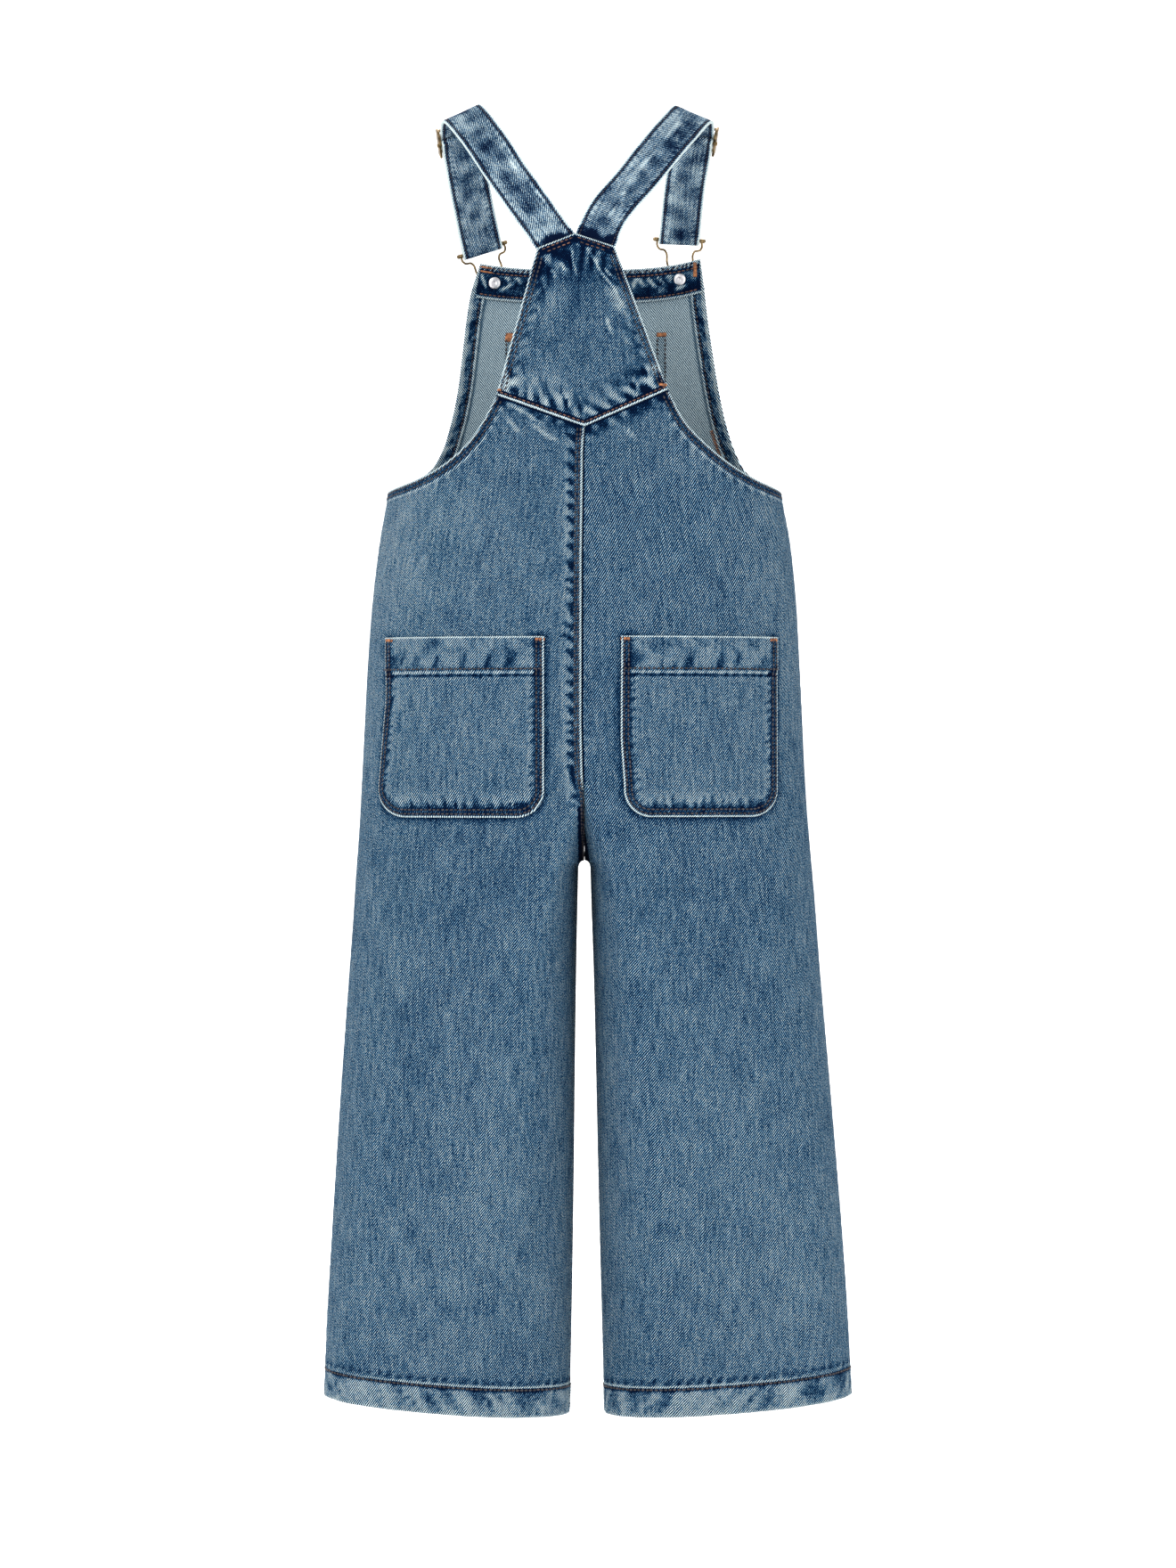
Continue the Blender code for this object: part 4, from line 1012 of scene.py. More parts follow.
def lower_grid(side, face, top):
    """Angles and heights of a panel from the height `top` down to the hem."""
    straight = np.linspace(top, SPLIT_TOP, round((top - SPLIT_TOP) / ROW_STEP))
    turns = SPLIT_TOP - (SPLIT_TOP - CROTCH) * np.sin(np.linspace(0, math.pi / 2, CROTCH_ROWS)[1:])
    phis, heights = [], []
    for z in [*straight, *turns]:
        _, phi = row_columns(side, face, z)
        phis.append(phi)
        heights.append(np.full(phi.shape, z))
    leg = CROTCH - HEM_INNER
    hem = 1 - (LEG_HEM + 8.0) / leg
    under = np.array([0.7, 1.6, 2.8, 4.4, CROTCH_ROUND]) / leg
    even = np.linspace(under[-1], hem, round(hem * leg / ROW_STEP))[1:]
    edge = 1 - (1 - hem) * (1 - np.linspace(0, 1, HEM_ROWS)[1:] ** 0.75)
    for share in [*under, *even, *edge]:
        level = leg_z(share, HEM_REACH / 2)
        _, phi = row_columns(side, face, level)
        x = quarter(side, face, phi, np.full(phi.shape, level))[..., 0]
        phis.append(phi)
        heights.append(leg_z(share, x))
    return np.array(phis), np.array(heights)


def top_edge_back(side, shares):
    """The back panel's top edge from the side seam: along the armhole, then down the V seam."""
    underarm_x = float(column(SECTIONS, SECTION_COLUMNS, SIDE_NAMES[side], UNDERARM))
    armhole = curve_through([(underarm_x, UNDERARM), *reversed(ARMHOLE_BACK[side])], 120)
    corner = int(np.argmin(np.abs(shares - ARM_SHARE)))
    arm = polyline(armhole, shares[: corner + 1] / shares[corner])
    v_shares = (shares[corner:] - shares[corner]) / (1 - shares[corner])
    v_seam = polyline((V_SEAM_END[side], V_SEAM_CENTRE), v_shares)
    edge = np.concatenate([arm, v_seam[1:]])
    phis = np.array([phi_of(side, BACK, x, z) for x, z in edge])
    phis[0], phis[-1] = math.pi / 2, 0.0
    return phis, edge[:, 1] - SEAM_GAP / 2, corner


def around(side, face, phi, z):
    """Distance round the section from the side seam to each angle."""
    steps = np.linspace(0, 1, 25).reshape((-1,) + (1,) * phi.ndim)
    angles = math.pi / 2 + (phi - math.pi / 2) * steps
    path = quarter(side, face, angles, np.broadcast_to(z, angles.shape))[..., :2]
    return np.linalg.norm(np.diff(path, axis=0), axis=-1).sum(0)


def flared(size, x, z):
    """Places on a patch pocket after its left edge is moved to where it was sewn."""
    if size["name"] not in POCKET_FLARES:
        return x
    places, shifts = zip(*POCKET_FLARES[size["name"]])
    return x + np.interp(z, places, shifts) * (x - size["x_right"]) / (size["x_left"] - size["x_right"])


def pocket_edge(size, count=40):
    """A patch pocket's outline on its panel, from the top left down, across and up to the top right."""
    middle, half = (size["x_left"] + size["x_right"]) / 2, (size["x_left"] - size["x_right"]) / 2
    low, corner = size["bottom"] + size["corner"], size["corner"]
    turn = np.linspace(0, math.pi / 2, 10)
    left = [(half, z) for z in np.linspace(size["top"], low, count)]
    left += [(half - corner * (1 - math.cos(a)), low - corner * math.sin(a)) for a in turn[1:]]
    across = [(x, size["bottom"]) for x in np.linspace(half - corner, corner - half, count)[1:-1]]
    right = [(-x, z) for x, z in reversed(left)]
    line = [(flared(size, middle + x, z), z) for x, z in [*left, *across, *right]]
    return np.array([seen_at(size["face"], x, z) for x, z in line])


def pockets_of(side, face):
    """The patch pockets that lie wholly on this panel."""
    sizes = [dict(zip(POCKET_COLUMNS, row)) for row in BACK_POCKETS]
    return [size for size in sizes if size["face"] == face and size["x_left"] * side > 0]


def panel(side, face, brown):
    """A leg and body panel, back or front, with its seams, hems, puckers and stitches."""
    corner = None
    if face == BACK:
        phis, heights = lower_grid(side, face, BASE_ROW)
        shares, _ = row_columns(side, face, BASE_ROW)
        top_phis, top_heights, corner = top_edge_back(side, shares)
        steps = (np.linspace(0, 1, TOP_ROWS, endpoint=False) ** 1.45)[:, None]
        phis = np.concatenate([top_phis + steps * (phis[0] - top_phis), phis])
        heights = np.concatenate([top_heights + steps * (heights[0] - top_heights), heights])
    else:
        phis, heights = lower_grid(side, face, WAIST_SEAM - SEAM_GAP / 2)
    surface, normal = cloth_frame(side, face, phis, heights)
    seed = 10 + side + 4 * face
    z = heights
    from_side = along_rows(surface)
    from_centre = from_side[:, -1:] - from_side
    down = down_columns(surface)
    from_hem = down[-1:] - down
    below = ramp(-z, -SPLIT_TOP + 40, -CROTCH + 4)
    on_hem = fall(from_hem, LEG_HEM - 0.3, LEG_HEM + 0.5)

    kind = "back_" if face == BACK else "front_"
    node = kind + SIDE_NAMES[side]
    edge = np.minimum(np.minimum(from_side, from_centre), from_hem)
    wall = Wall("denim_" + node, node, surface, normal, DENIM + (HEM_CLOTH - DENIM) * on_hem, edge)
    wall.apart = (side, face)
    wall.fade = faded(side, face, surface)
    wall.wear_and_shade += 0.08 * crease_rise(side, face, surface)

    in_shade = ramp(-z, -SHADE_TOP - 2.0, -SHADE_TOP + 2.0)
    # side seam: pressed open, so both panels dip into it
    wave = puckers(from_side, z, 1.0, 8.0, 11.0, 0.4, seed)
    wall.relief += 0.2 * wave - 0.6 * np.exp(-((from_side / 1.1) ** 2))
    light, dark = np.exp(-(((from_side - 2.0) / 1.1) ** 2)), np.exp(-((from_side / 0.9) ** 2))
    wall.wear_and_shade += 0.3 * wave + 0.5 * light - 0.7 * dark
    # centre seam: felled onto the left panel
    if side == LEFT:
        band = fall(from_centre, SEAM_BAND - 0.6, SEAM_BAND + 0.6)
        rows = grooves(from_centre, SEAM_ROWS)
        wall.relief += 0.75 * band * (1 - 0.5 * below) - 0.35 * rows * (1 - below)
        wave = 0.75 * dark_teeth(from_centre - SEAM_BAND, z, 7.0, 10.5, -0.6, seed + 20)
        ridge = fall(from_centre, 1.3, 1.9)
        wall.relief += 0.34 * wave
        wall.wear_and_shade += 1.1 * wave * (1 - 0.5 * below) + 2.2 * ridge * (1 - in_shade) - 0.4 * band * (1 - ridge)
    else:
        wave = puckers(from_centre, z, 1.5, 6.0, 9.4, 0.75, seed + 20)
        wall.relief += 0.12 * wave - 0.45 * np.exp(-((from_centre / 1.3) ** 2))
        # painted shadow: the right panel's edge is darkened in a thin line beside the left panel's raised
        # felled band; the puckers are wear
        wall.wear_and_shade += 0.3 * wave - 2.0 * fall(from_centre, 0.8, 1.5)
    # painted light: below the crotch the inner leg edges are made lighter, where the cloth turns away from
    # the light
    wall.wear_and_shade += 0.7 * fall(from_centre, 2.0, 14.0) * (z < CROTCH)
    # where the cloth turns under between the legs it is in deep shade
    low_share = np.clip((z - SHADE_TOP) / (CROTCH - SHADE_TOP), 0.0, 1.0)
    left_end, right_end = (np.interp(low_share, (0.0, 1.0), ends) for ends in SHADE_ENDS[face])
    x = surface[..., 0]
    shade = ramp(x, right_end - 0.5, right_end + 0.5) * fall(x, left_end - 0.5, left_end + 0.5)
    shade *= in_shade * (z > CROTCH - 4.0)
    wall.wear_and_shade -= 5.0 * shade
    leg_hem(wall, from_hem, from_side, on_hem, seed)
    if face == BACK:
        upper_edge(wall, surface, corner, seed)
        wall.turned = np.maximum(wall.turned, LEG_HEM - from_hem)
    else:
        wave = puckers(down, from_side, 1.0, 9.0, 10.0, 0.5, seed + 70)
        wall.relief += 0.25 * wave - 0.5 * np.exp(-((down / 1.1) ** 2))
        wall.wear_and_shade += 0.7 * wave - 1.0 * fall(down, 0.5, 1.4)
        wall.edge = np.minimum(wall.edge, down)
        wall.turned = LEG_HEM - from_hem
    for size in pockets_of(side, face):
        beside_pocket(wall, surface, size)

    u = side * face * around(side, face, phis, z) * MM + 0.37 * seed
    start = TOP_ROWS if face == BACK else 0
    below = down[start : start + 1] - down + z[start : start + 1]
    v = np.where(np.arange(len(z))[:, None] < start, z, below) * MM
    cloth, _ = wall.build(u, v, [BODY_DENIM, INSIDE])

    brown.row(cloth, cloth.inset(cloth.grid[-1], LEG_HEM - 1.0, (0.5, 0.5)), width=1.7)
    if side == LEFT:
        seam = cloth.grid[heights[:, -1] > CROTCH + 4.0, -1]
        for far in SEAM_ROWS:
            brown.row(cloth, cloth.inset(seam, far, (1.0, 0.0)))
    if face == BACK:
        for far in ARM_ROWS:
            brown.row(cloth, cloth.inset(cloth.grid[0, : corner + 1], far, (0.5, far * 0.4)))


def down_columns(surface):
    """The distance down each column of a grid, leaving out what the columns shift sideways."""
    row_way = np.gradient(surface, axis=1)
    row_way /= np.maximum(np.linalg.norm(row_way, axis=-1, keepdims=True), 1e-9)
    step = np.diff(surface, axis=0)
    way = (row_way[1:] + row_way[:-1]) / 2
    step -= way * (step * way).sum(-1, keepdims=True)
    drop = np.linalg.norm(step, axis=-1)
    return np.concatenate([np.zeros((1, surface.shape[1])), np.cumsum(drop, axis=0)])


def dark_teeth(off, along, reach, pitch, slant, seed, pale=0.5):
    """Puckers beside a topstitched seam: dark teeth that point away from it, with paler cloth between."""
    warp = (noise(along / (1.7 * pitch), 0.5, seed) - 0.5) * 1.7 * pitch
    place = (along + slant * off + warp) / pitch
    far = reach * (0.55 + 0.8 * noise(along / (1.2 * pitch), 3.5, seed + 1))
    tooth = np.abs(((place % 1.0) - 0.5) * 2)
    width = 0.52 * (1 - np.clip(off / far, 0, 1) ** 1.5)
    dark = fall(tooth, width - 0.2, width + 0.2)
    near = ramp(off, -1.2, 0.2) * fall(off, 0.8 * far, 1.25 * far)
    between = ramp(off, -0.6, 0.6) * fall(off, 0.8 * reach, 1.5 * reach)
    return pale * (1 - dark) * between - 1.3 * dark * near


def hem_blots(drop, along, line, seed):
    """Worn and unworn patches on a pocket's hem, where it is thick over its turned edge."""
    low = np.minimum(noise((along + 0.3 * drop) / 3.6, drop / 16.0, seed) - 0.5, 0.1)
    high = noise((along - 0.4 * drop) / 4.8, drop / 6.0, seed + 1) - 0.5
    share = ramp(drop, 0.3 * line, 0.8 * line)
    return (2.2 * low * share + 0.8 * high * (1 - share)) * (drop < line)


def leg_hem(wall, from_hem, from_side, on_hem, seed):
    """The turned band at the foot, held by one row of stitches and roped by the wash."""
    within = LEG_HEM - from_hem
    leaning = from_side - 0.45 * within
    rope = noise(leaning / 4.8, within / 20.0, seed + 40) - 0.5
    fine = noise((leaning - 0.3 * within) / 2.6, within / 11.0, seed + 50) - 0.5
    dark = ramp(-rope, -0.04, 0.16) * fall(within, 0.5 * LEG_HEM, 1.05 * LEG_HEM)
    wall.relief += on_hem * (1.4 * rope + 0.5 * fine)
    wall.wear_and_shade += on_hem * (1.1 * fine - 0.75 * dark + 0.2 * rope + 0.5)
    wall.wear_and_shade -= 2.4 * groove(from_hem, LEG_HEM - 1.0, 1.2)
    above = puckers(from_hem - LEG_HEM, from_side, 1.4, 8.0, 8.0, 0.5, seed + 60)
    wall.relief += 0.22 * above - 0.5 * groove(from_hem, LEG_HEM - 1.0, 0.8)
    shade = ramp(from_hem, LEG_HEM + 1, LEG_HEM + 3) * fall(from_hem, LEG_HEM + 4, LEG_HEM + 9)
    wall.wear_and_shade += 0.75 * above - 0.4 * shade
    wall.wear_and_shade += 1.7 * groove(from_hem, LEG_HEM + 1.1, 0.8) + 0.6 * fall(from_hem, 0.8, 1.8)


# Worn lines on the back panels under the yoke: x is positive on the left
PANEL_LINES = (
    ((60.0, -229.1), (52.0, -232.0), (43.8, -236.8), (29.2, -247.4)),
    ((40.0, -244.0), (30.0, -252.0), (20.0, -258.0)),
    ((58.0, -240.0), (48.0, -252.0)),
    ((-30.0, -248.0), (-38.0, -256.0)),
)


def upper_edge(wall, surface, corner, seed):
    """The back panel's armhole, with its stitched band, and the V seam under the yoke, with a painted shadow
    along it.
    """
    arm_off, arm_at = path_distance(surface, surface[0, : corner + 1])
    v_off, v_at = path_distance(surface, surface[0, corner:])
    band = fall(arm_off, ARM_BAND - 0.5, ARM_BAND + 0.5)
    rows = grooves(arm_off, ARM_ROWS)
    wall.relief += 0.45 * band - 0.4 * rows
    wave = puckers(arm_off, arm_at, ARM_BAND, 7.0, 9.0, 0.5, seed + 70)
    rim = fall(arm_off, 1.1, 1.8)
    wall.relief += 0.22 * wave
    wall.wear_and_shade += 0.6 * wave + 2.2 * rim - 0.6 * band * (1 - rim) + 0.9 * groove(arm_off, ARM_BAND + 0.6, 0.8)
    wave = puckers(v_off, v_at, 1.0, 12.0, 12.0, 0.7, seed + 80)
    near = fall(v_off, 0.8, 1.8)
    streaks = noise((v_at - 0.7 * v_off) / 5.0, v_off / 22.0, seed + 82) - 0.5
    wall.relief += 0.3 * wave - 0.5 * near
    worn = light_lines(surface[..., 0], surface[..., 2], PANEL_LINES, 1.2) * (1 - near)
    # painted shadow: `near` darkens the panel close under the yoke's edge along the V seam
    wall.wear_and_shade += 0.6 * wave - 1.9 * near + (1.6 * streaks - 0.6) * fall(v_off, 3.0, 14.0) + 1.5 * worn
    wall.turned = ARM_BAND + 0.6 - arm_off
    wall.edge = np.minimum(wall.edge, np.minimum(arm_off, v_off))
    wall.thick = wall.thick + 0.9 * fall(arm_off, ARM_BAND, ARM_BAND + 0.8)


def beside_pocket(wall, surface, size):
    """The panel is darker in a broken band close round a pocket, and sinks a little there."""
    middle = (size["x_left"] + size["x_right"]) / 2
    reach = abs(size["x_left"] - middle) + 14.0
    near = np.abs(surface[..., 0] - middle) < reach
    near &= (surface[..., 2] < size["top"] + 12.0) & (surface[..., 2] > size["bottom"] - 12.0)
    outline = pocket_edge(size)
    off, at = path_distance(surface[near], np.concatenate([outline, outline[:1]]))
    broken = 0.5 + noise(at / 7.0, 0.5, 5)
    wall.wear_and_shade[near] -= 0.75 * broken * np.exp(-((off / 3.2) ** 2))
    wall.relief[near] -= 0.25 * np.exp(-((off / 2.0) ** 2))


# ---------------------------------------------------------------- yoke

# Worn lines along the yoke's sharpest creases, and its soft creases from the straps down: x is positive
# on the left
YOKE_LINES = (
    ((-2.0, -112.0), (-7.5, -121.0), (-12.7, -131.0), (-18.5, -138.0), (-22.7, -143.7), (-28.0, -154.3)),
    ((-14.7, -127.7), (-20.7, -133.7)),
    ((-16.7, -165.0), (-18.0, -171.0), (-20.7, -175.6)),
    ((-33.3, -208.5), (-38.0, -214.0), (-41.9, -221.5)),
    ((-46.0, -203.0), (-50.5, -212.0)),
    ((15.6, -221.0), (12.6, -226.0), (10.6, -233.0)),
    ((19.0, -122.0), (13.6, -130.0)),
    ((25.3, -128.0), (21.4, -134.5)),
    ((9.7, -112.0), (8.6, -122.0), (5.8, -133.0)),
)
YOKE_CREASES = (
    (2, -106, -30, -154, 5.0, 0.7),
    (14, -116, 34, -176, 6.0, 0.5),
    (-12, -120, -44, -196, 6.0, 0.45),
    (4, -122, 10, -182, 5.0, -0.5),
    (36, -190, 8, -236, 6.0, 0.4),
    (-40, -200, -16, -238, 6.0, -0.4),
)


def yoke_surface(x, z):
    """Points and outward normals of the yoke at x (positive on the left) and z."""
    points, normals = np.empty(x.shape + (3,)), np.empty(x.shape + (3,))
    for side, on in halves(x):
        width = column(SECTIONS, SECTION_COLUMNS, SIDE_NAMES[side], z[on])
        square = column(SECTIONS, SECTION_COLUMNS, "square", z[on])
        phi = np.arcsin((np.abs(x[on]) / width) ** (square / 2))
        points[on], normals[on] = cloth_frame(side, BACK, phi, z[on])
    return points, normals


def spaced(length, step, both=True):
    """Shares of a length for rows or columns: close together at its start, and at its end if both."""
    end = length - EDGE_STEPS[-1] if both else length
    middle = np.linspace(EDGE_STEPS[-1], end, max(2, round((end - EDGE_STEPS[-1]) / step) + 1))
    tail = length - EDGE_STEPS[-2::-1] if both else np.zeros(0)
    return np.concatenate([EDGE_STEPS[:-1], middle, tail]) / length


def yoke(brown, rust, orange):
    """The six-sided yoke: stitched edges, darker under the straps, and puckers above the V seam."""
    half = spaced(70.0, 2.4, both=False)
    other = 1 - half[::-1]
    right_top = (-YOKE_TOP[RIGHT][0], YOKE_TOP[RIGHT][1])
    right_low = (-V_SEAM_END[RIGHT][0], V_SEAM_END[RIGHT][1])
    corners = (YOKE_TOP[LEFT], YOKE_APEX, right_top), (V_SEAM_END[LEFT], V_SEAM_CENTRE, right_low)
    top, low = (
        np.concatenate([polyline((left, centre), half), polyline((centre, right), other)[1:]])
        for left, centre, right in corners
    )
    low[:, 1] += SEAM_GAP / 2
    share = spaced(146.0, 2.2)[:, None]
    x, z = (top[:, k] + share * (low[:, k] - top[:, k]) for k in (0, 1))
    surface, normal = yoke_surface(x, z)
    top_off, top_at = path_distance(surface, surface[0])
    sides = [path_distance(surface, surface[:, k]) for k in (0, -1)]
    side_off = np.minimum(sides[0][0], sides[1][0])
    low_off, low_at = path_distance(surface, surface[-1])
    rim_off = np.minimum(top_off, side_off)
    edge = np.minimum(rim_off, low_off)
    wall = Wall("denim_yoke", "back_yoke", surface, normal, np.full(x.shape, DENIM), edge)

    band = fall(rim_off, YOKE_BAND - 0.5, YOKE_BAND + 0.6)
    ridge = fall(rim_off, 0.9, 1.6)
    at = np.where(top_off < side_off, top_at, np.where(sides[0][0] < sides[1][0], sides[0][1], sides[1][1]))
    wave = puckers(rim_off, at, YOKE_BAND, 6.0, 10.0, 0.8, 31)
    above = fall(top_off, YOKE_BAND - 0.5, YOKE_BAND + 0.6) * (1 - ridge)
    wall.relief += 0.4 * band - 0.35 * grooves(rim_off, YOKE_ROWS) + 0.2 * wave
    wall.wear_and_shade += 2.6 * ridge - 0.2 * band * (1 - ridge) - 1.0 * above + 0.5 * wave
    streaks = puckers(top_off, top_at, YOKE_BAND, 26.0, 13.0, -0.35, 33)
    wall.relief += 0.25 * streaks
    unworn = 0.7 * ramp(top_off, YOKE_BAND, YOKE_BAND + 2) * fall(top_off, 18.0, 46.0)
    wall.wear_and_shade += 1.0 * streaks - unworn
    wave = puckers(low_off, low_at, 4.0, 17.0, 12.0, 0.7, 37)
    near = fall(low_off, 3.8, 4.6)
    uneven = 0.5 * noise(low_at / 5.0, 0.5, 43)
    ridge = fall(low_off, 0.7 + uneven, 1.2 + uneven) * fall(-rim_off, -2.0, -0.5)
    blotch = noise((low_at + 0.4 * low_off) / 4.0, low_off / 6.5, 39) - 0.5
    corner = fall(low_off, 12.0, 30.0) * (0.5 + 0.5 * fall(side_off, 12.0, 34.0))
    wall.relief += 0.4 * wave + 0.5 * near - 0.3 * groove(low_off, 2.6)
    wall.wear_and_shade += 1.5 * wave + 3.2 * ridge - 1.9 * near * (1 - ridge) + 4.2 * blotch * corner * (1 - near)
    wall.wear_and_shade += 1.6 * blotch * fall(side_off, 12.0, 22.0) * ramp(side_off, YOKE_BAND, YOKE_BAND + 2)
    worn = light_lines(x, z, YOKE_LINES, 1.0)
    wall.relief += 0.3 * worn
    # the worn crease lines are wear; the dark line shifted to one side of each is painted shade
    wall.wear_and_shade += 2.2 * worn - 0.8 * (light_lines(x - 1.5, z - 1.5, YOKE_LINES, 1.6) - worn).clip(0, 1)
    for x0, z0, x1, z1, width, rise in YOKE_CREASES:
        off, along = off_line(x, z, (x0, z0), (x1, z1))
        off = off + 1.6 * np.sin(along * 5.0 + x0)
        bump = np.exp(-((off / width) ** 2)) * ramp(along, -0.15, 0.25) * fall(along, 0.55, 1.15)
        wall.relief += rise * bump
        wall.wear_and_shade += 0.6 * rise * bump
    wall.fade -= 0.4 * fall(-z, 112.0, 142.0) + 0.25 * noise(x / 14.0, z / 10.0, 41)
    across = along_rows(surface)
    u = (across - across[:, len(half) - 1 : len(half)]) * MM + 1.9
    cloth, _ = wall.build(u, z * MM, [YOKE_DENIM, INSIDE])

    count = len(half)
    grid = cloth.grid
    for far in YOKE_ROWS:
        for path in (grid[0, :count], grid[0, count - 1 :]):
            rust.row(cloth, cloth.inset(path, far + 0.2, (far, far)), width=1.0)
        for path in (grid[:, 0], grid[:, -1]):
            brown.row(cloth, cloth.inset(path, far, (far, far)))
    for path in (grid[-1, :count], grid[-1, count - 1 :]):
        rust.row(cloth, cloth.inset(path, 2.6, (1.5, 0.5)), width=1.0)
    for k, sign, wide in ((0, -1, 2.4), (-1, 1, 5.4)):
        end = grid[-1, k] + np.array([sign * 1.4, 0.0, 3.0])
        orange.bar(cloth, end, end + np.array([sign * wide, 0.0, 0.5]), 2.6)


# ---------------------------------------------------------------- bib and facing

BIB_HEM_WIDE = 11.2
BIB_ROW = 8.2
BIB_SIDE_ROWS = (2.4, BIB_ROW)
BIB_HALF_COLUMNS, FACING_HALF_COLUMNS = 34, 40
# Where the zigzag stitches on the bib's right hem lie
ZIGZAG_BOTTOM, ZIGZAG_TOP = -264.0, -240.0
BIB_POCKET_ROWS = (-3.0, 3.0)
FACING_ROW_STEP = 1.0


# Columns of the bib from its side edge: close together round its hem's row of stitches
BIB_STEPS = np.concatenate(
    [EDGE_STEPS[:9], [6.4, 7.0, 7.6, 8.2, 8.8, 9.3], np.arange(9.7, 13.0, 0.4), [14.0, 15.5]])


def bib_reach(side, level):
    """The bib's side edge at a height, as its distance from the middle."""
    return float(column(BIB_EDGE, BIB_EDGE_COLUMNS, SIDE_NAMES[side], level))


def bib_top(side, share):
    """Height of the bib's top edge: it hangs between its two buttons."""
    middle = (BIB_TOP[LEFT] + BIB_TOP[RIGHT]) / 2 - BIB_TOP_SAG
    return middle + (BIB_TOP[side] - middle) * np.abs(share) ** 2


def bib_end(side, level):
    """The section angle of the bib's side edge at a height."""
    return phi_of(side, FRONT, bib_reach(side, level), level) if level > UNDERARM else math.pi / 2


def bib_levels():
    """Heights of the bib's rows: they follow the side edge evenly, and the top and bottom edges closely."""
    top, bottom = BIB_EDGE[-1][0], WAIST_SEAM + SEAM_GAP / 2
    fine = np.linspace(top, bottom, 420)
    edge = [cloth_frame(LEFT, FRONT, np.array(bib_end(LEFT, z)), np.array(z))[0] for z in fine]
    length = along_path(np.array(edge))
    levels = np.interp(np.linspace(0, length[-1], round(length[-1] / 2.3)), length, fine)
    inner = levels[(levels < top - EDGE_STEPS[-1]) & (levels > bottom + EDGE_STEPS[-1])]
    return np.concatenate([top - EDGE_STEPS, inner, bottom + EDGE_STEPS[::-1]])


def bib_half(side, levels, count):
    """Section angles and heights of half the bib, from its side edge to the middle."""
    phis, heights = [], []
    for level in levels:
        end = bib_end(side, level)
        fine = end * np.linspace(1, 0, 241) ** 1.5
        length = along_path(quarter(side, FRONT, fine, np.full(fine.shape, level)))
        places = np.concatenate([BIB_STEPS[:-1], np.linspace(BIB_STEPS[-1], length[-1], count)])
        phi = np.interp(places, length, fine)
        phis.append(phi)
        tall = ramp(level, BIB_TOP_FROM, BIB_EDGE[-1][0])
        heights.append(level + tall * (bib_top(side, phi / end) - BIB_EDGE[-1][0]))
    return np.array(phis), np.array(heights)


def both_halves(halves):
    """One grid from the left half (side edge to middle) and the right half (which is turned round)."""
    return np.concatenate([halves[0], halves[1][:, -2::-1]], axis=1)


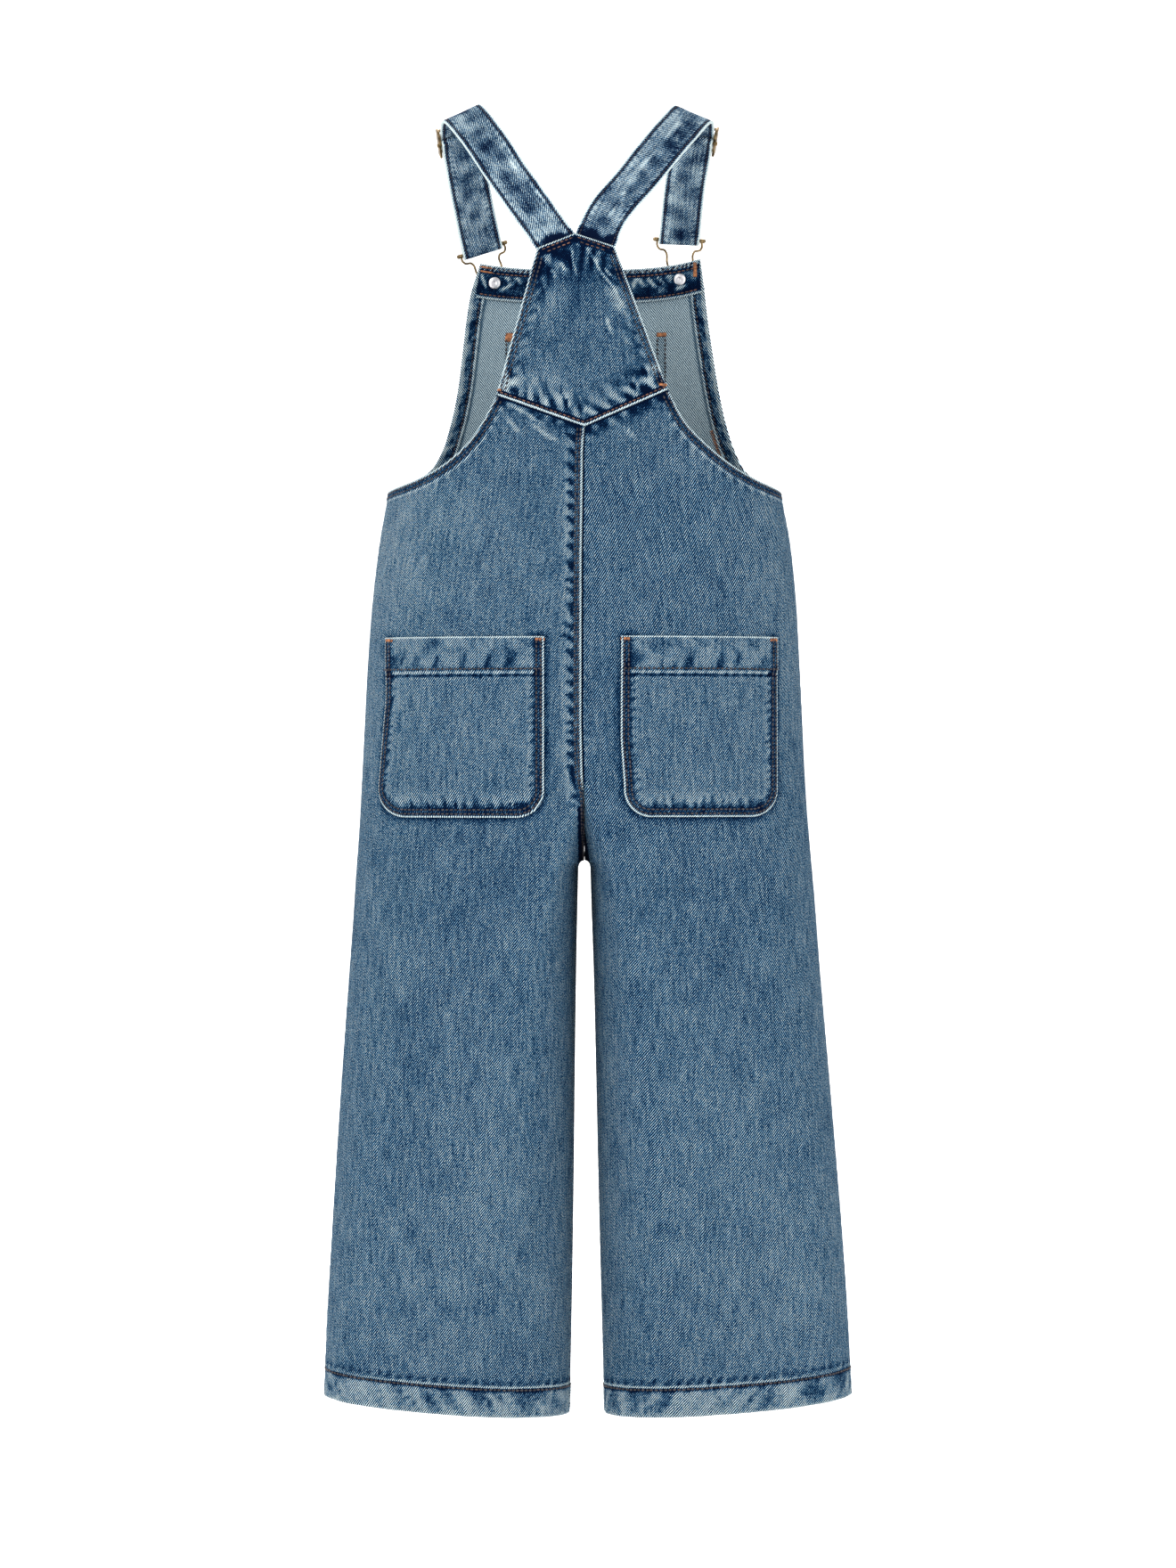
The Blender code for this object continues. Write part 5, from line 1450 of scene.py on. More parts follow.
def bib(brown, orange):
    """The bib: hemmed sides, a faced top edge, and on its inside the hems and the pocket's stitching."""
    levels = bib_levels()
    grids = {side: bib_half(side, levels, BIB_HALF_COLUMNS) for side in (LEFT, RIGHT)}
    frames = [cloth_frame(side, FRONT, *grids[side]) for side in (LEFT, RIGHT)]
    surface, normal = (both_halves([frames[0][k], frames[1][k]]) for k in (0, 1))
    middle = grids[LEFT][0].shape[1] - 1
    z = both_halves([grids[LEFT][1], grids[RIGHT][1]])
    top_off, top_at = path_distance(surface, surface[0])
    arm = levels > UNDERARM - 0.5
    sides = [path_distance(surface, surface[arm, k]) for k in (0, -1)]
    left_near = sides[0][0] < sides[1][0]
    side_off = np.where(left_near, sides[0][0], sides[1][0])
    side_at = np.where(left_near, sides[0][1], sides[1][1])
    across = along_rows(surface)
    from_edge = np.minimum(across, across[:, -1:] - across)
    low_off = np.abs(z - z[-1:])
    edge = np.minimum(np.minimum(top_off, from_edge), low_off)
    wall = Wall("denim_bib", "bib", surface, normal, np.full(z.shape, DENIM), edge)
    wall.apart = (0, FRONT)
    for side, part in ((LEFT, slice(0, middle)), (RIGHT, slice(middle, None))):
        wall.fade[:, part] = faded(side, FRONT, surface[:, part])

    hem = fall(side_off, BIB_HEM_WIDE - 0.4, BIB_HEM_WIDE + 0.6)
    rim = fall(np.minimum(side_off, top_off), 0.9, 1.7)
    wave = puckers(side_off, side_at, BIB_HEM_WIDE, 8.0, 10.0, 0.5, 51)
    ease = puckers(top_off, top_at, 1.5, 6.0, 4.6, 0.4, 53)
    roping = puckers(top_off, top_at, 6.5, 30.0, 9.0, 0.6, 55) * fall(top_off, 20.0, 23.0)
    above = puckers(low_off, across, 1.0, 9.0, 10.0, 0.5, 57)
    rows = grooves(top_off, BIB_TOP_ROWS)
    for far in BIB_SIDE_ROWS:
        rows = rows + groove(side_off, far)
    wall.relief += 0.2 * wave + 0.2 * ease + 0.25 * roping + 0.25 * above - 0.3 * rows
    wall.wear_and_shade += 0.6 * wave + 0.6 * ease + 0.5 * roping + 0.7 * above + 1.3 * rim - 0.25 * hem
    wall.wear_and_shade -= 0.9 * fall(low_off, 0.5, 1.4)
    # inside: the side hems are turned in and stand a little proud, but not under the facing
    clear = ramp(top_off, FACING_TALL + 1.0, FACING_TALL + 5.0)
    inner_wave = puckers(side_off, side_at, 6.0, 9.0, 6.0, 0.4, 59)
    wall.under = -clear * (0.9 * hem + 0.25 * hem * inner_wave - 0.4 * groove(side_off, BIB_ROW) * hem)
    wall.turned = np.where(side_off < BIB_HEM_WIDE, BIB_HEM_WIDE - side_off, -1.0)
    shadow = 0.9 * np.exp(-(((top_off - FACING_TALL) / 5.0) ** 2))
    shadow = shadow + 3.4 * groove(side_off, BIB_HEM_WIDE + 1.0, 1.0)
    low_shade = ramp(-z, 235.0, 292.0) * np.where(surface[..., 0] < 0, 1.9, 0.5)
    mottle = noise((side_at + side_off) / 3.6, side_off / 4.0, 60) - 0.5
    wall.inner_wear_and_shade = hem * (1.8 * mottle + 0.5 * inner_wave - 0.2) + 1.3 * fall(side_off, 2.0, 3.6)
    wall.inner_wear_and_shade += 2.4 * groove(side_off, BIB_HEM_WIDE - 1.1, 0.8) - 1.1 * groove(side_off, BIB_ROW, 1.0)
    wall.inner_wear_and_shade -= (shadow + low_shade) * (1 - hem)
    pocket = dict(zip(POCKET_COLUMNS, BIB_POCKET))
    outline = pocket_edge(pocket)
    wall.inner_wear_and_shade -= 1.6 * fall(path_distance(surface, outline)[0], 3.0, 4.2)
    # painted shadow cast by the yoke on the bib's inside, beside the yoke's edge on the wearer's right
    yoke_side = (V_SEAM_END[RIGHT], YOKE_TOP[RIGHT])
    behind_yoke = np.interp(z, [point[1] for point in yoke_side], [point[0] for point in yoke_side])
    yoke_shadow = fall(np.abs(surface[..., 0]) - behind_yoke, -4.0, 20.0)
    wall.inner_wear_and_shade -= 0.35 * yoke_shadow * (surface[..., 0] < 0) * ramp(z, -270.0, -200.0)
    # painted light: the bib's inside on the wearer's right is made lighter, away from its hems
    wall.inner_wear_and_shade += 0.5 * ramp(-surface[..., 0], 10.0, 40.0) * (1 - hem)
    u = (across - across[:, middle : middle + 1]) * MM * -1 + 3.1
    outside, inside = wall.build(u, z * MM, [BODY_DENIM, INSIDE])

    grid = outside.grid
    for far in BIB_TOP_ROWS:
        brown.row(outside, outside.inset(grid[0], far, (2.4, 2.4)))
    for k in (0, -1):
        for far in BIB_SIDE_ROWS:
            brown.row(outside, outside.inset(grid[arm, k], far, (6.5, 2.0)))
        brown.row(inside, inside.inset(inside.grid[arm, k], BIB_ROW, (FACING_TALL + 2.0, 2.0)))
    for far in BIB_POCKET_ROWS:
        brown.row(inside, inside.inset(outline, far, (1.0, 1.0)))
    for x, tall in ((pocket["x_left"], 8.0), (pocket["x_right"], 3.8)):
        start, end = (seen_at(FRONT, x + reach, pocket["top"] + 3.6 - tall / 2) for reach in (-3.5, 3.5))
        orange.bar(inside, start, end, tall)
    zigzag = inside.inset(inside.grid[arm, -1], BIB_HEM_WIDE + 1.5, (0.0, 0.0))
    zigzag = zigzag[(zigzag[:, 2] < ZIGZAG_TOP) & (zigzag[:, 2] > ZIGZAG_BOTTOM)]
    orange.bar(inside, zigzag[0], zigzag[-1], 3.6, 1.3, 0.7)


# Worn lines across the facing: x is positive on the left
FACING_LINES = (
    ((-37.1, -130.7), (-40.3, -121.7)),
    ((-41.2, -122.2), (-45.8, -129.2)),
    ((-48.1, -122.2), (-55.4, -130.8)),
    ((-54.3, -119.4), (-61.9, -128.1)),
    ((-63.8, -117.5), (-66.4, -126.4)),
    ((-70.1, -131.6), (-79.0, -128.5)),
    ((-28.0, -124.0), (-33.0, -132.0)),
    ((79.9, -119.2), (75.8, -131.5)),
    ((64.4, -132.6), (54.1, -126.4)),
    ((61.5, -119.4), (58.0, -126.4)),
    ((54.7, -120.2), (48.6, -127.4)),
    ((44.0, -121.0), (38.0, -131.0)),
    ((20.0, -124.0), (12.0, -133.0)),
    ((2.0, -124.0), (-6.0, -132.0)),
    ((30.0, -134.0), (24.0, -126.0)),
    ((-16.0, -134.0), (-12.0, -125.0)),
)


def bib_facing(brown, rust, orange):
    """The band inside the bib's top edge, with its right side showing."""
    drops = np.concatenate([EDGE_STEPS, np.arange(14.0, FACING_TALL - 2.0, FACING_ROW_STEP)])
    drops = np.concatenate([drops, FACING_TALL - np.array([2.0, 1.4, 0.9, 0.45, 0.0])])
    top = BIB_EDGE[-1][0]
    inset = 1 - FACING_INSET / BIB_EDGE[-1][1]
    frames, heights = [], []
    for side in (LEFT, RIGHT):
        phis, z = bib_half(side, np.array([top]), FACING_HALF_COLUMNS)
        wider = np.array([bib_reach(side, top - drop) / bib_reach(side, top) for drop in drops])
        phi = phis * inset * wider[:, None]
        heights.append(z - drops[:, None])
        frames.append(cloth_frame(side, FRONT, phi, heights[-1]))
    surface, normal = (both_halves([frames[0][k], frames[1][k]]) for k in (0, 1))
    z = both_halves(heights)
    surface = surface - normal * (2 * DENIM + LAY_GAP)
    normal = -normal
    top_off, top_at = path_distance(surface, surface[0])
    low_off, _ = path_distance(surface, surface[-1])
    across = along_rows(surface)
    end_off = np.minimum(across, across[:, -1:] - across)
    edge = np.minimum(np.minimum(top_off, low_off), end_off)
    wall = Wall("denim_facing", "bib_top_facing", surface, normal, np.full(z.shape, DENIM), edge)
    beads = puckers(top_off, top_at, 1.0, 5.0, 3.9, 0.5, 61)
    rows = groove(top_off, 2.6) + groove(top_off, 5.8) + groove(low_off, 3.4)
    ridge = fall(top_off, 0.9, 1.5) + groove(low_off, 0.8, 0.9)
    wall.under = np.zeros(z.shape)
    deep = ramp(top_off, 6.5, 8.0) * ramp(low_off, 3.0, 4.5)
    streak = light_lines(surface[..., 0], surface[..., 2], FACING_LINES, 1.1) * deep
    cloudy = noise(top_at / 6.0, top_off / 6.0, 63) - 0.5
    under_rim = ramp(top_off, 3.4, 4.0) * fall(top_off, 6.0, 7.5)
    wall.relief += 0.22 * beads + 0.4 * streak - 0.35 * rows
    wall.wear_and_shade += 1.9 * beads + 2.7 * streak + 2.4 * ridge + (1.8 * cloudy - 0.3) * deep
    wall.wear_and_shade += 1.5 * groove(top_off, 2.7, 0.8) - 0.9 * under_rim - 0.8 * groove(low_off, 3.4, 1.6)
    u = across * MM + 4.3
    cloth, _ = wall.build(u, z * MM, [BAND_DENIM, INSIDE], "denim_dark")
    brown.row(cloth, cloth.inset(cloth.grid[0], 2.7, (2.0, 2.0)), 3.6, 2.0, 1.6)
    rust.row(cloth, cloth.inset(cloth.grid[0], 5.8, (2.0, 2.0)), width=1.0)
    rust.row(cloth, cloth.inset(cloth.grid[-1], 3.4, (2.0, 2.0)), width=1.0)
    start = cloth.grid[0, -1] + np.array([3.2, 0.0, -3.0])
    orange.bar(cloth, start, start + np.array([0.0, 0.0, -11.0]), 3.4)
    start, end = cloth.grid[0, 0], cloth.grid[0, 12]
    for drop in (2.2, 5.6):
        low = np.array([0.0, 0.0, -drop])
        orange.bar(cloth, start + low, end + low, 1.6)


# ---------------------------------------------------------------- patch pockets

POCKET_HEM_EXTRA = 0.9
POCKET_CORNER_ROWS = 13


def phis_at(face, x, z):
    """Signed section angles (positive on the left) of places seen at x and one height."""
    found = np.empty(x.shape)
    for side, on in halves(x):
        start = float(seam_phi(z))
        fine = start + (math.pi / 2 - start) * np.linspace(0, 1, 361) ** 1.5
        reach = quarter(side, face, fine, np.full(fine.shape, z))[:, 0]
        found[on] = side * np.interp(np.abs(x[on]), reach, fine)
    return found


def panel_points(face, phis, z):
    """Points and outward normals on the panels at signed section angles."""
    points, normals = np.empty(phis.shape + (3,)), np.empty(phis.shape + (3,))
    for side, on in halves(phis):
        points[on], normals[on] = cloth_frame(side, face, np.abs(phis[on]), z[on])
    return points, normals


def patch_pocket(row, brown, orange):
    """A patch pocket laid on its panel: a hem along its top, stitched sides and round lower corners."""
    size = dict(zip(POCKET_COLUMNS, row))
    face, corner = size["face"], size["corner"]
    middle, half = (size["x_left"] + size["x_right"]) / 2, (size["x_left"] - size["x_right"]) / 2
    low = size["bottom"] + corner
    down = size["top"] - low
    levels = [(size["top"] - share * down, half) for share in spaced(down, 2.0, both=False)]
    for angle in np.linspace(0, math.pi / 2, POCKET_CORNER_ROWS)[1:]:
        levels.append((low - corner * math.sin(angle), half - corner * (1 - math.cos(angle))))
    shares = spaced(2 * half, 2.1)
    phis, heights = [], []
    for z, reach in levels:
        x = flared(size, middle + reach * np.linspace(1, -1, 121), z)
        phi = phis_at(face, x, z)
        length = along_path(panel_points(face, phi, np.full(phi.shape, z))[0])
        phis.append(np.interp(shares, length / length[-1], phi))
        heights.append(np.full(shares.shape, z))
    phis, z = np.array(phis), np.array(heights)
    surface, normal = panel_points(face, phis, z)
    outline = np.concatenate([surface[:, 0], surface[-1, 1:-1], surface[::-1, -1]])
    rim_off, rim_at = path_distance(surface, outline)
    top_off, top_at = path_distance(surface, surface[0])
    low_off, low_at = path_distance(surface, surface[-1])
    drop = top_off
    hem = fall(drop, size["hem"] - 0.6, size["hem"] + 0.6)
    edge = np.minimum(rim_off, top_off)
    thick = POCKET_CLOTH + POCKET_HEM_EXTRA * hem
    seed = 71 + int(abs(middle)) % 7
    name = size["name"]
    lifted = surface + normal * (LAY_GAP + thick)[..., None]
    wall = Wall("denim_" + name, name, lifted, normal, thick, edge)
    wall.under = np.zeros(z.shape)
    for side, on in halves(phis):
        wall.fade[on] = faded(side, face, surface[on])

    ridge = fall(edge, 1.0, 1.5)
    band = fall(rim_off, POCKET_BAND - 0.6, POCKET_BAND + 0.6) * (1 - ridge)
    wave = dark_teeth(rim_off - POCKET_BAND, rim_at, 4.5, 6.5, 0.4, seed) * (1 - 0.6 * hem)
    deep = dark_teeth(low_off - POCKET_BAND, low_at, 9.0, 7.5, 0.2, seed + 3, 0.45)
    rows = grooves(rim_off, POCKET_ROWS)
    wall.relief += 0.3 * band + 0.18 * wave + 0.2 * deep - 0.32 * rows
    wall.wear_and_shade += 2.3 * ridge - 0.6 * band + 0.5 * wave + 0.55 * deep * (1 - hem) + 0.12
    wall.wear_and_shade -= 0.7 * grooves(rim_off, POCKET_ROWS, 0.8)
    line = size["hem"] - 1.6
    blots = hem_blots(drop, top_at, line, seed + 7)
    under = dark_teeth(drop - size["hem"], top_at, 5.0, 7.5, 0.5, seed + 9) * (drop > size["hem"] - 1.0)
    wall.relief += 0.2 * blots + 0.2 * under - 0.35 * groove(drop, line)
    wall.wear_and_shade += 1.2 * blots + 0.5 * under + 2.3 * groove(drop, size["hem"] + 0.5, 0.8) * (1 - band)
    # the first dark line is a painted shadow below the hem's turned edge; the second lies along the hem's row
    # of stitches
    wall.wear_and_shade -= 1.3 * groove(drop, size["hem"] + 2.7, 1.2) + 1.1 * groove(drop, line, 0.9)
    across = along_rows(surface)
    u = (across - across[:, -1:] / 2) * MM * (1 if face == BACK else -1) + 0.61 * seed
    cloth, _ = wall.build(u, z * MM, [BODY_DENIM, INSIDE])

    grid = cloth.grid
    sewn = np.concatenate([grid[:, 0], grid[-1, 1:-1], grid[::-1, -1]])
    for far in POCKET_ROWS:
        brown.row(cloth, cloth.inset(sewn, far, (2.5, 2.5)))
    brown.row(cloth, cloth.inset(grid[0], line, (1.5, 1.5)))
    for x, sign in ((size["x_left"], -1), (size["x_right"], 1)):
        x, z = flared(size, x, size["top"]), size["top"] - 2.4
        orange.bar(cloth, seen_at(face, x + sign * 1.6, z), seen_at(face, x + sign * 6.0, z), 2.6)


# ---------------------------------------------------------------- straps and metalwork

STRAP_DETAIL = 4
STRAP_ROW = 12.9
SECTION_PLACES = (0.0, 0.35, 0.8, 1.4, 2.0, 2.7, 3.4, 4.6, 6.2, 8.2, 10.6, 13.2, STRAP_WIDTH / 2)


def buckle_frame(side):
    """The buckle's bar centre, button foot, and its directions: along the bar, down to the button, out."""
    size = dict(zip(BUCKLE_COLUMNS, BUCKLES[side]))
    foot = Vector(seen_at(FRONT, side * size["button_x"], size["button_z"], 0.0))
    beyond = Vector(seen_at(FRONT, side * size["button_x"], size["button_z"], 1.0))
    out = (beyond - foot).normalized()
    along = Vector((side * size["along_x"], 0.0, size["along_z"]))
    along = (along - out * along.dot(out)).normalized()
    drop = Vector((side * size["bar_x"], 0.0, size["bar_z"])) - foot
    drop.y = -(out.x * drop.x + out.z * drop.z) / out.y
    centre = foot + drop + out * WIRE_LIFT
    return centre, foot, along, (foot + out * WIRE_LIFT - centre), out


def strap_edge(points):
    """One edge of the strap: straight under the yoke, then a smooth curve from the yoke's edge on."""
    hidden = points[0] + (points[1] - points[0]) * np.linspace(0, 1, STRAP_DETAIL, endpoint=False)[:, None]
    return np.concatenate([hidden, curve_through(points[1:], (STRAP_RINGS - 2) * STRAP_DETAIL + 1)])


def strap_layers(side):
    """The strap's middle line, edge directions and outward normals, and its outer layer. In front, from the
    slider down, the strap is double: the layers lie either side of the middle line and part round a bar."""
    under = -DENIM - STRAP_TUCK_GAP - STRAP_CLOTH / 2
    outer_x, outer_top = side * YOKE_TOP[side][0], YOKE_TOP[side][1]
    inner_x, inner_top = YOKE_APEX[0] + side * STRAP_APART, YOKE_APEX[1]
    edges = []
    for tuck in (STRAP_TUCK, 0.0):
        outer = seen_at(BACK, outer_x, outer_top - tuck, under)
        inner = seen_at(BACK, inner_x, inner_top - tuck, under)
        edges.append((outer, np.array([inner_x, inner[1], inner[2]])))
    for row in STRAP_EDGES[side]:
        signs = np.array([side, 1.0, 1.0])
        edges.append((np.array(row[:3]) * signs, np.array(row[3:]) * signs))
    centre, _, along, _, _ = buckle_frame(side)
    half = STRAP_WIDTH / 2
    edges.append((np.array(centre + along * half), np.array(centre - along * half)))
    outer, inner = (strap_edge([pair[k] for pair in edges]) for k in (0, 1))
    middle, across = (outer + inner) / 2, outer - inner
    across /= np.linalg.norm(across, axis=1, keepdims=True)
    ahead = np.gradient(middle, axis=0)
    ahead /= np.linalg.norm(ahead, axis=1, keepdims=True)
    normal = np.cross(ahead, across) * side
    length = along_path(middle)
    coarse = middle[::STRAP_DETAIL]
    ridge = along_path(coarse)[np.argmax(coarse[:, 2])]
    whole = along_path(coarse)
    slider_at = ridge + SLIDER_PLACE * (whole[-1] - ridge)
    top = int(np.argmax(whole >= slider_at - 0.5)) * STRAP_DETAIL
    close = (STRAP_CLOTH + LAY_GAP) / 2
    by_buckle = ramp(length, length[-1] - 12.0, length[-1] - 1.0)
    by_slider = fall(np.abs(length - slider_at), 1.0, 9.0)
    half_gap = close + (LOOP_REACH - close) * np.maximum(by_buckle, by_slider)
    lift = normal * (half_gap * ramp(length, ridge - 4.0, slider_at - 4.0))[:, None]
    return {"middle": middle, "across": across, "normal": normal, "lift": lift, "top": top}


# Worn lines along the straps' creases at the back: x is positive on the left
STRAP_LINES = {
    LEFT: (((27.0, -78.0), (33.0, -71.0), (38.0, -66.5)), ((50.0, -52.0), (56.0, -44.0))),
    RIGHT: (
        ((-27.7, -84.0), (-27.9, -76.0), (-30.1, -66.9), (-38.0, -58.0), (-44.8, -48.1), (-54.2, -32.5)),
        ((-54.2, -32.5), (-62.0, -24.0), (-70.9, -14.3), (-71.5, -9.0)),
        ((-18.0, -88.0), (-22.0, -84.0), (-27.7, -79.0)),
    ),
}


def dark_spots(at, wide, pitch, seed):
    """Soft dark spots in a row down the strap, each a little off its place."""
    total = np.zeros(np.broadcast(at, wide).shape)
    first = np.floor(at / pitch)
    for k in (first - 1, first, first + 1):
        shift, aside = noise(k * 1.7, 0.5, seed) - 0.5, noise(k * 2.3, 5.5, seed) - 0.5
        lengthwise = ((at - (k + 0.5 + 0.7 * shift) * pitch) / (0.3 * pitch)) ** 2
        far = lengthwise + ((wide - 11.0 * aside) / 5.5) ** 2
        total = total + (0.6 + 0.8 * noise(k * 3.1, 9.5, seed)) * np.exp(-far)
    return total


def strap(side, brown):
    """The outer layer down to the buckle, round its bar, up again inside and over the slider's middle bar."""
    layers = strap_layers(side)
    middle, across, normal, lift = (layers[name] for name in ("middle", "across", "normal", "lift"))
    top = layers["top"]
    centres, edges, normals = list(middle + lift), list(across), list(normal)
    down = middle[-1] - middle[-2]
    down /= np.linalg.norm(down)
    for angle in np.radians(range(10, 180, 10)):
        spoke = normal[-1] * math.cos(angle) + down * math.sin(angle)
        centres.append(middle[-1] + spoke * LOOP_REACH)
        edges.append(across[-1])
        normals.append(spoke)
    centres += list((middle - lift)[top:][::-1])
    edges += list(across[top:][::-1])
    normals += list(-normal[top:][::-1])
    up = middle[top] - middle[top + STRAP_DETAIL]
    up /= np.linalg.norm(up)
    for angle in np.radians(range(10, 116, 7)):
        spoke = -normal[top] * math.cos(angle) + up * math.sin(angle)
        centres.append(middle[top] + spoke * LOOP_REACH)
        edges.append(across[top])
        normals.append(spoke)
    centres, edges, normals = np.array(centres), np.array(edges), np.array(normals)

    steps = np.array(SECTION_PLACES)
    wide = np.concatenate([STRAP_WIDTH / 2 - steps, steps[-2::-1] - STRAP_WIDTH / 2])
    edge_off = np.concatenate([steps, steps[-2::-1]])
    closing = 1 - np.sqrt(1 - (1 - np.clip(edge_off / EDGE_ROUND, 0, 1)) ** 2)
    at = along_path(centres)[:, None]
    edge_off, wide_at = edge_off[None], wide[None]
    faces, tones = [], []
    for way in (1, -1):
        seed = 81 + side + 4 * way
        beside = puckers(np.abs(wide_at) * -1 + STRAP_ROW, at + 40 * (wide_at > 0), 1.0, 4.5, 5.2, 0.5, seed)
        dark = dark_spots(at, wide_at, 15.0, seed + 3) * fall(np.abs(wide_at), 10.5, 12.0)
        cloudy = noise(at / 9.0, wide_at / 7.0 + 9.5, seed + 5) - 0.5
        rim = fall(edge_off, 0.8, 1.6)
        row = np.exp(-(((edge_off - (STRAP_WIDTH / 2 - STRAP_ROW)) / 0.9) ** 2))
        height = STRAP_CLOTH / 2 - 0.6 * closing * STRAP_CLOTH / 2 + 0.15 * beside - 0.22 * row - 0.1 * dark
        seen = centres[:, None] + edges[:, None] * wide_at[..., None]
        worn = light_lines(seen[..., 0], seen[..., 2], STRAP_LINES[side], 1.1)
        worn = worn * (seen[..., 1] > 0) * (way > 0)
        edge_z = np.interp(seen[..., 0], (-YOKE_TOP[RIGHT][0], YOKE_APEX[0], YOKE_TOP[LEFT][0]),
                           (YOKE_TOP[RIGHT][1], YOKE_APEX[1], YOKE_TOP[LEFT][1]))
        # painted shadow where the strap goes in under the yoke's top edge
        entry_shade = fall(seen[..., 2] - edge_z + 7.0 * cloudy, 3.0, 8.0) * (at < 40.0)
        faces.append(seen + way * normals[:, None] * height[..., None])
        wear_and_shade = 0.5 * beside + 2.0 * rim - 1.6 * row - 0.8 * dark
        wear_and_shade = wear_and_shade + 1.1 * worn - 1.6 * entry_shade + 1.1 * cloudy + 1.1
        tones.append(np.stack([wear_and_shade, 0 * wear_and_shade + 0.1 * np.sin(at / 23.0)], -1))
    outer, inner = faces
    u = np.broadcast_to(wide_at * side * -1 * MM + 5.3 + side, outer.shape[:2])
    v = np.broadcast_to(at * MM, outer.shape[:2])
    never = np.zeros(outer.shape[:2]) + 1.0
    maps = {"cloth": np.stack([u, v], -1), "tone": tones[0], "turned": np.stack([never, never], -1)}
    name = "strap_" + SIDE_NAMES[side]
    cloth_wall("denim_" + name, name, outer, inner, maps, {"tone": tones[1]}, [STRAP_DENIM, STRAP_DENIM])
    for grid, out in ((outer, normals), (inner, -normals)):
        cloth = Surface(grid, np.broadcast_to(out[:, None], grid.shape))
        for end in (-1, 1):
            brown.row(cloth, centres + edges * end * STRAP_ROW + out * STRAP_CLOTH / 2, 2.6, 2.1, 0.7)


def tube(path, radius, sides, ring):
    """Vertices and faces of a round bar along a path, with domed ends."""
    path = np.asarray(path, float)
    ahead = np.gradient(path, axis=0)
    ahead /= np.linalg.norm(ahead, axis=1, keepdims=True)
    dome = np.radians((78, 52, 26))
    start = [(path[0] - ahead[0] * radius * 0.7 * math.sin(a), radius * math.cos(a)) for a in dome]
    end = [(path[-1] + ahead[-1] * radius * 0.7 * math.sin(a), radius * math.cos(a)) for a in dome[::-1]]
    stations = start + [(point, radius) for point in path] + end
    aheads = [ahead[0]] * 3 + list(ahead) + [ahead[-1]] * 3
    verts, turned = [], np.array(ring, float)
    angles = np.linspace(0, 2 * math.pi, sides, endpoint=False)
    for (point, size), way in zip(stations, aheads):
        turned = turned - way * turned.dot(way)
        turned /= np.linalg.norm(turned)
        across = np.cross(way, turned)
        verts += [point + size * (math.cos(a) * turned + math.sin(a) * across) for a in angles]
    faces = []
    for k in range(len(stations) - 1):
        for s in range(sides):
            n = (s + 1) % sides
            faces.append((k * sides + s, k * sides + n, (k + 1) * sides + n, (k + 1) * sides + s))
    last = (len(stations) - 1) * sides
    faces.append(tuple(range(sides))[::-1])
    faces.append(tuple(range(last, last + sides)))
    return verts, faces


def eased(profile, size=0.22):
    """A profile with its corners cut twice, so that they are round."""
    for _ in range(2):
        points = [profile[0]]
        for before, here, after in zip(profile, profile[1:], profile[2:]):
            for other in (before, after):
                far = math.dist(other, here)
                share = min(size, 0.3 * far) / far
                points.append(tuple(h + (o - h) * share for h, o in zip(here, other)))
        profile = [*points, profile[-1]]
        size *= 0.45
    return profile


def turned_piece(profile, foot, axis, sides):
    """Vertices and faces of a turned piece: profile rows are (radius, height), first and last on the axis."""
    axis = Vector(axis).normalized()
    across = axis.orthogonal().normalized()
    other = axis.cross(across)
    foot = Vector(foot)
    verts = [foot + axis * profile[0][1], foot + axis * profile[-1][1]]
    angles = [2 * math.pi * s / sides for s in range(sides)]
    spokes = [math.cos(a) * across + math.sin(a) * other for a in angles]
    for radius, height in profile[1:-1]:
        verts += [foot + axis * height + radius * spoke for spoke in spokes]
    faces = []
    last = 2 + (len(profile) - 3) * sides
    for s in range(sides):
        n = (s + 1) % sides
        faces.append((0, 2 + n, 2 + s))
        faces.append((1, last + s, last + n))
        for k in range(len(profile) - 3):
            a, b = 2 + k * sides, 2 + (k + 1) * sides
            faces.append((a + s, a + n, b + n, b + s))
    return verts, faces


def soft_box(centre, axes, sizes, bevel):
    """Vertices and faces of a bar with rounded edges, along three directions."""
    bm = bmesh.new()
    bmesh.ops.create_cube(bm, size=1.0)
    for vertex in bm.verts:
        vertex.co = Vector([vertex.co[k] * sizes[k] for k in range(3)])
    bmesh.ops.bevel(bm, geom=list(bm.edges), offset=bevel, segments=3, profile=0.5, affect="EDGES")
    verts = [Vector(centre) + sum((axes[k] * v.co[k] for k in range(3)), Vector()) for v in bm.verts]
    bm.verts.index_update()
    faces = [tuple(v.index for v in face.verts) for face in bm.faces]
    bm.free()
    return verts, faces


def fitting(name, node, parts, finish):
    """One metal piece from the vertices and faces of its parts."""
    verts, faces = [], []
    for part_verts, part_faces in parts:
        start = len(verts)
        verts += [tuple(v) for v in part_verts]
        faces += [tuple(start + k for k in face) for face in part_faces]
    made = mesh_object(name, verts, faces, [finish])
    bm = bmesh.new()
    bm.from_mesh(made.data)
    bmesh.ops.recalc_face_normals(bm, faces=bm.faces)
    bm.to_mesh(made.data)
    bm.free()
    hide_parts(node)


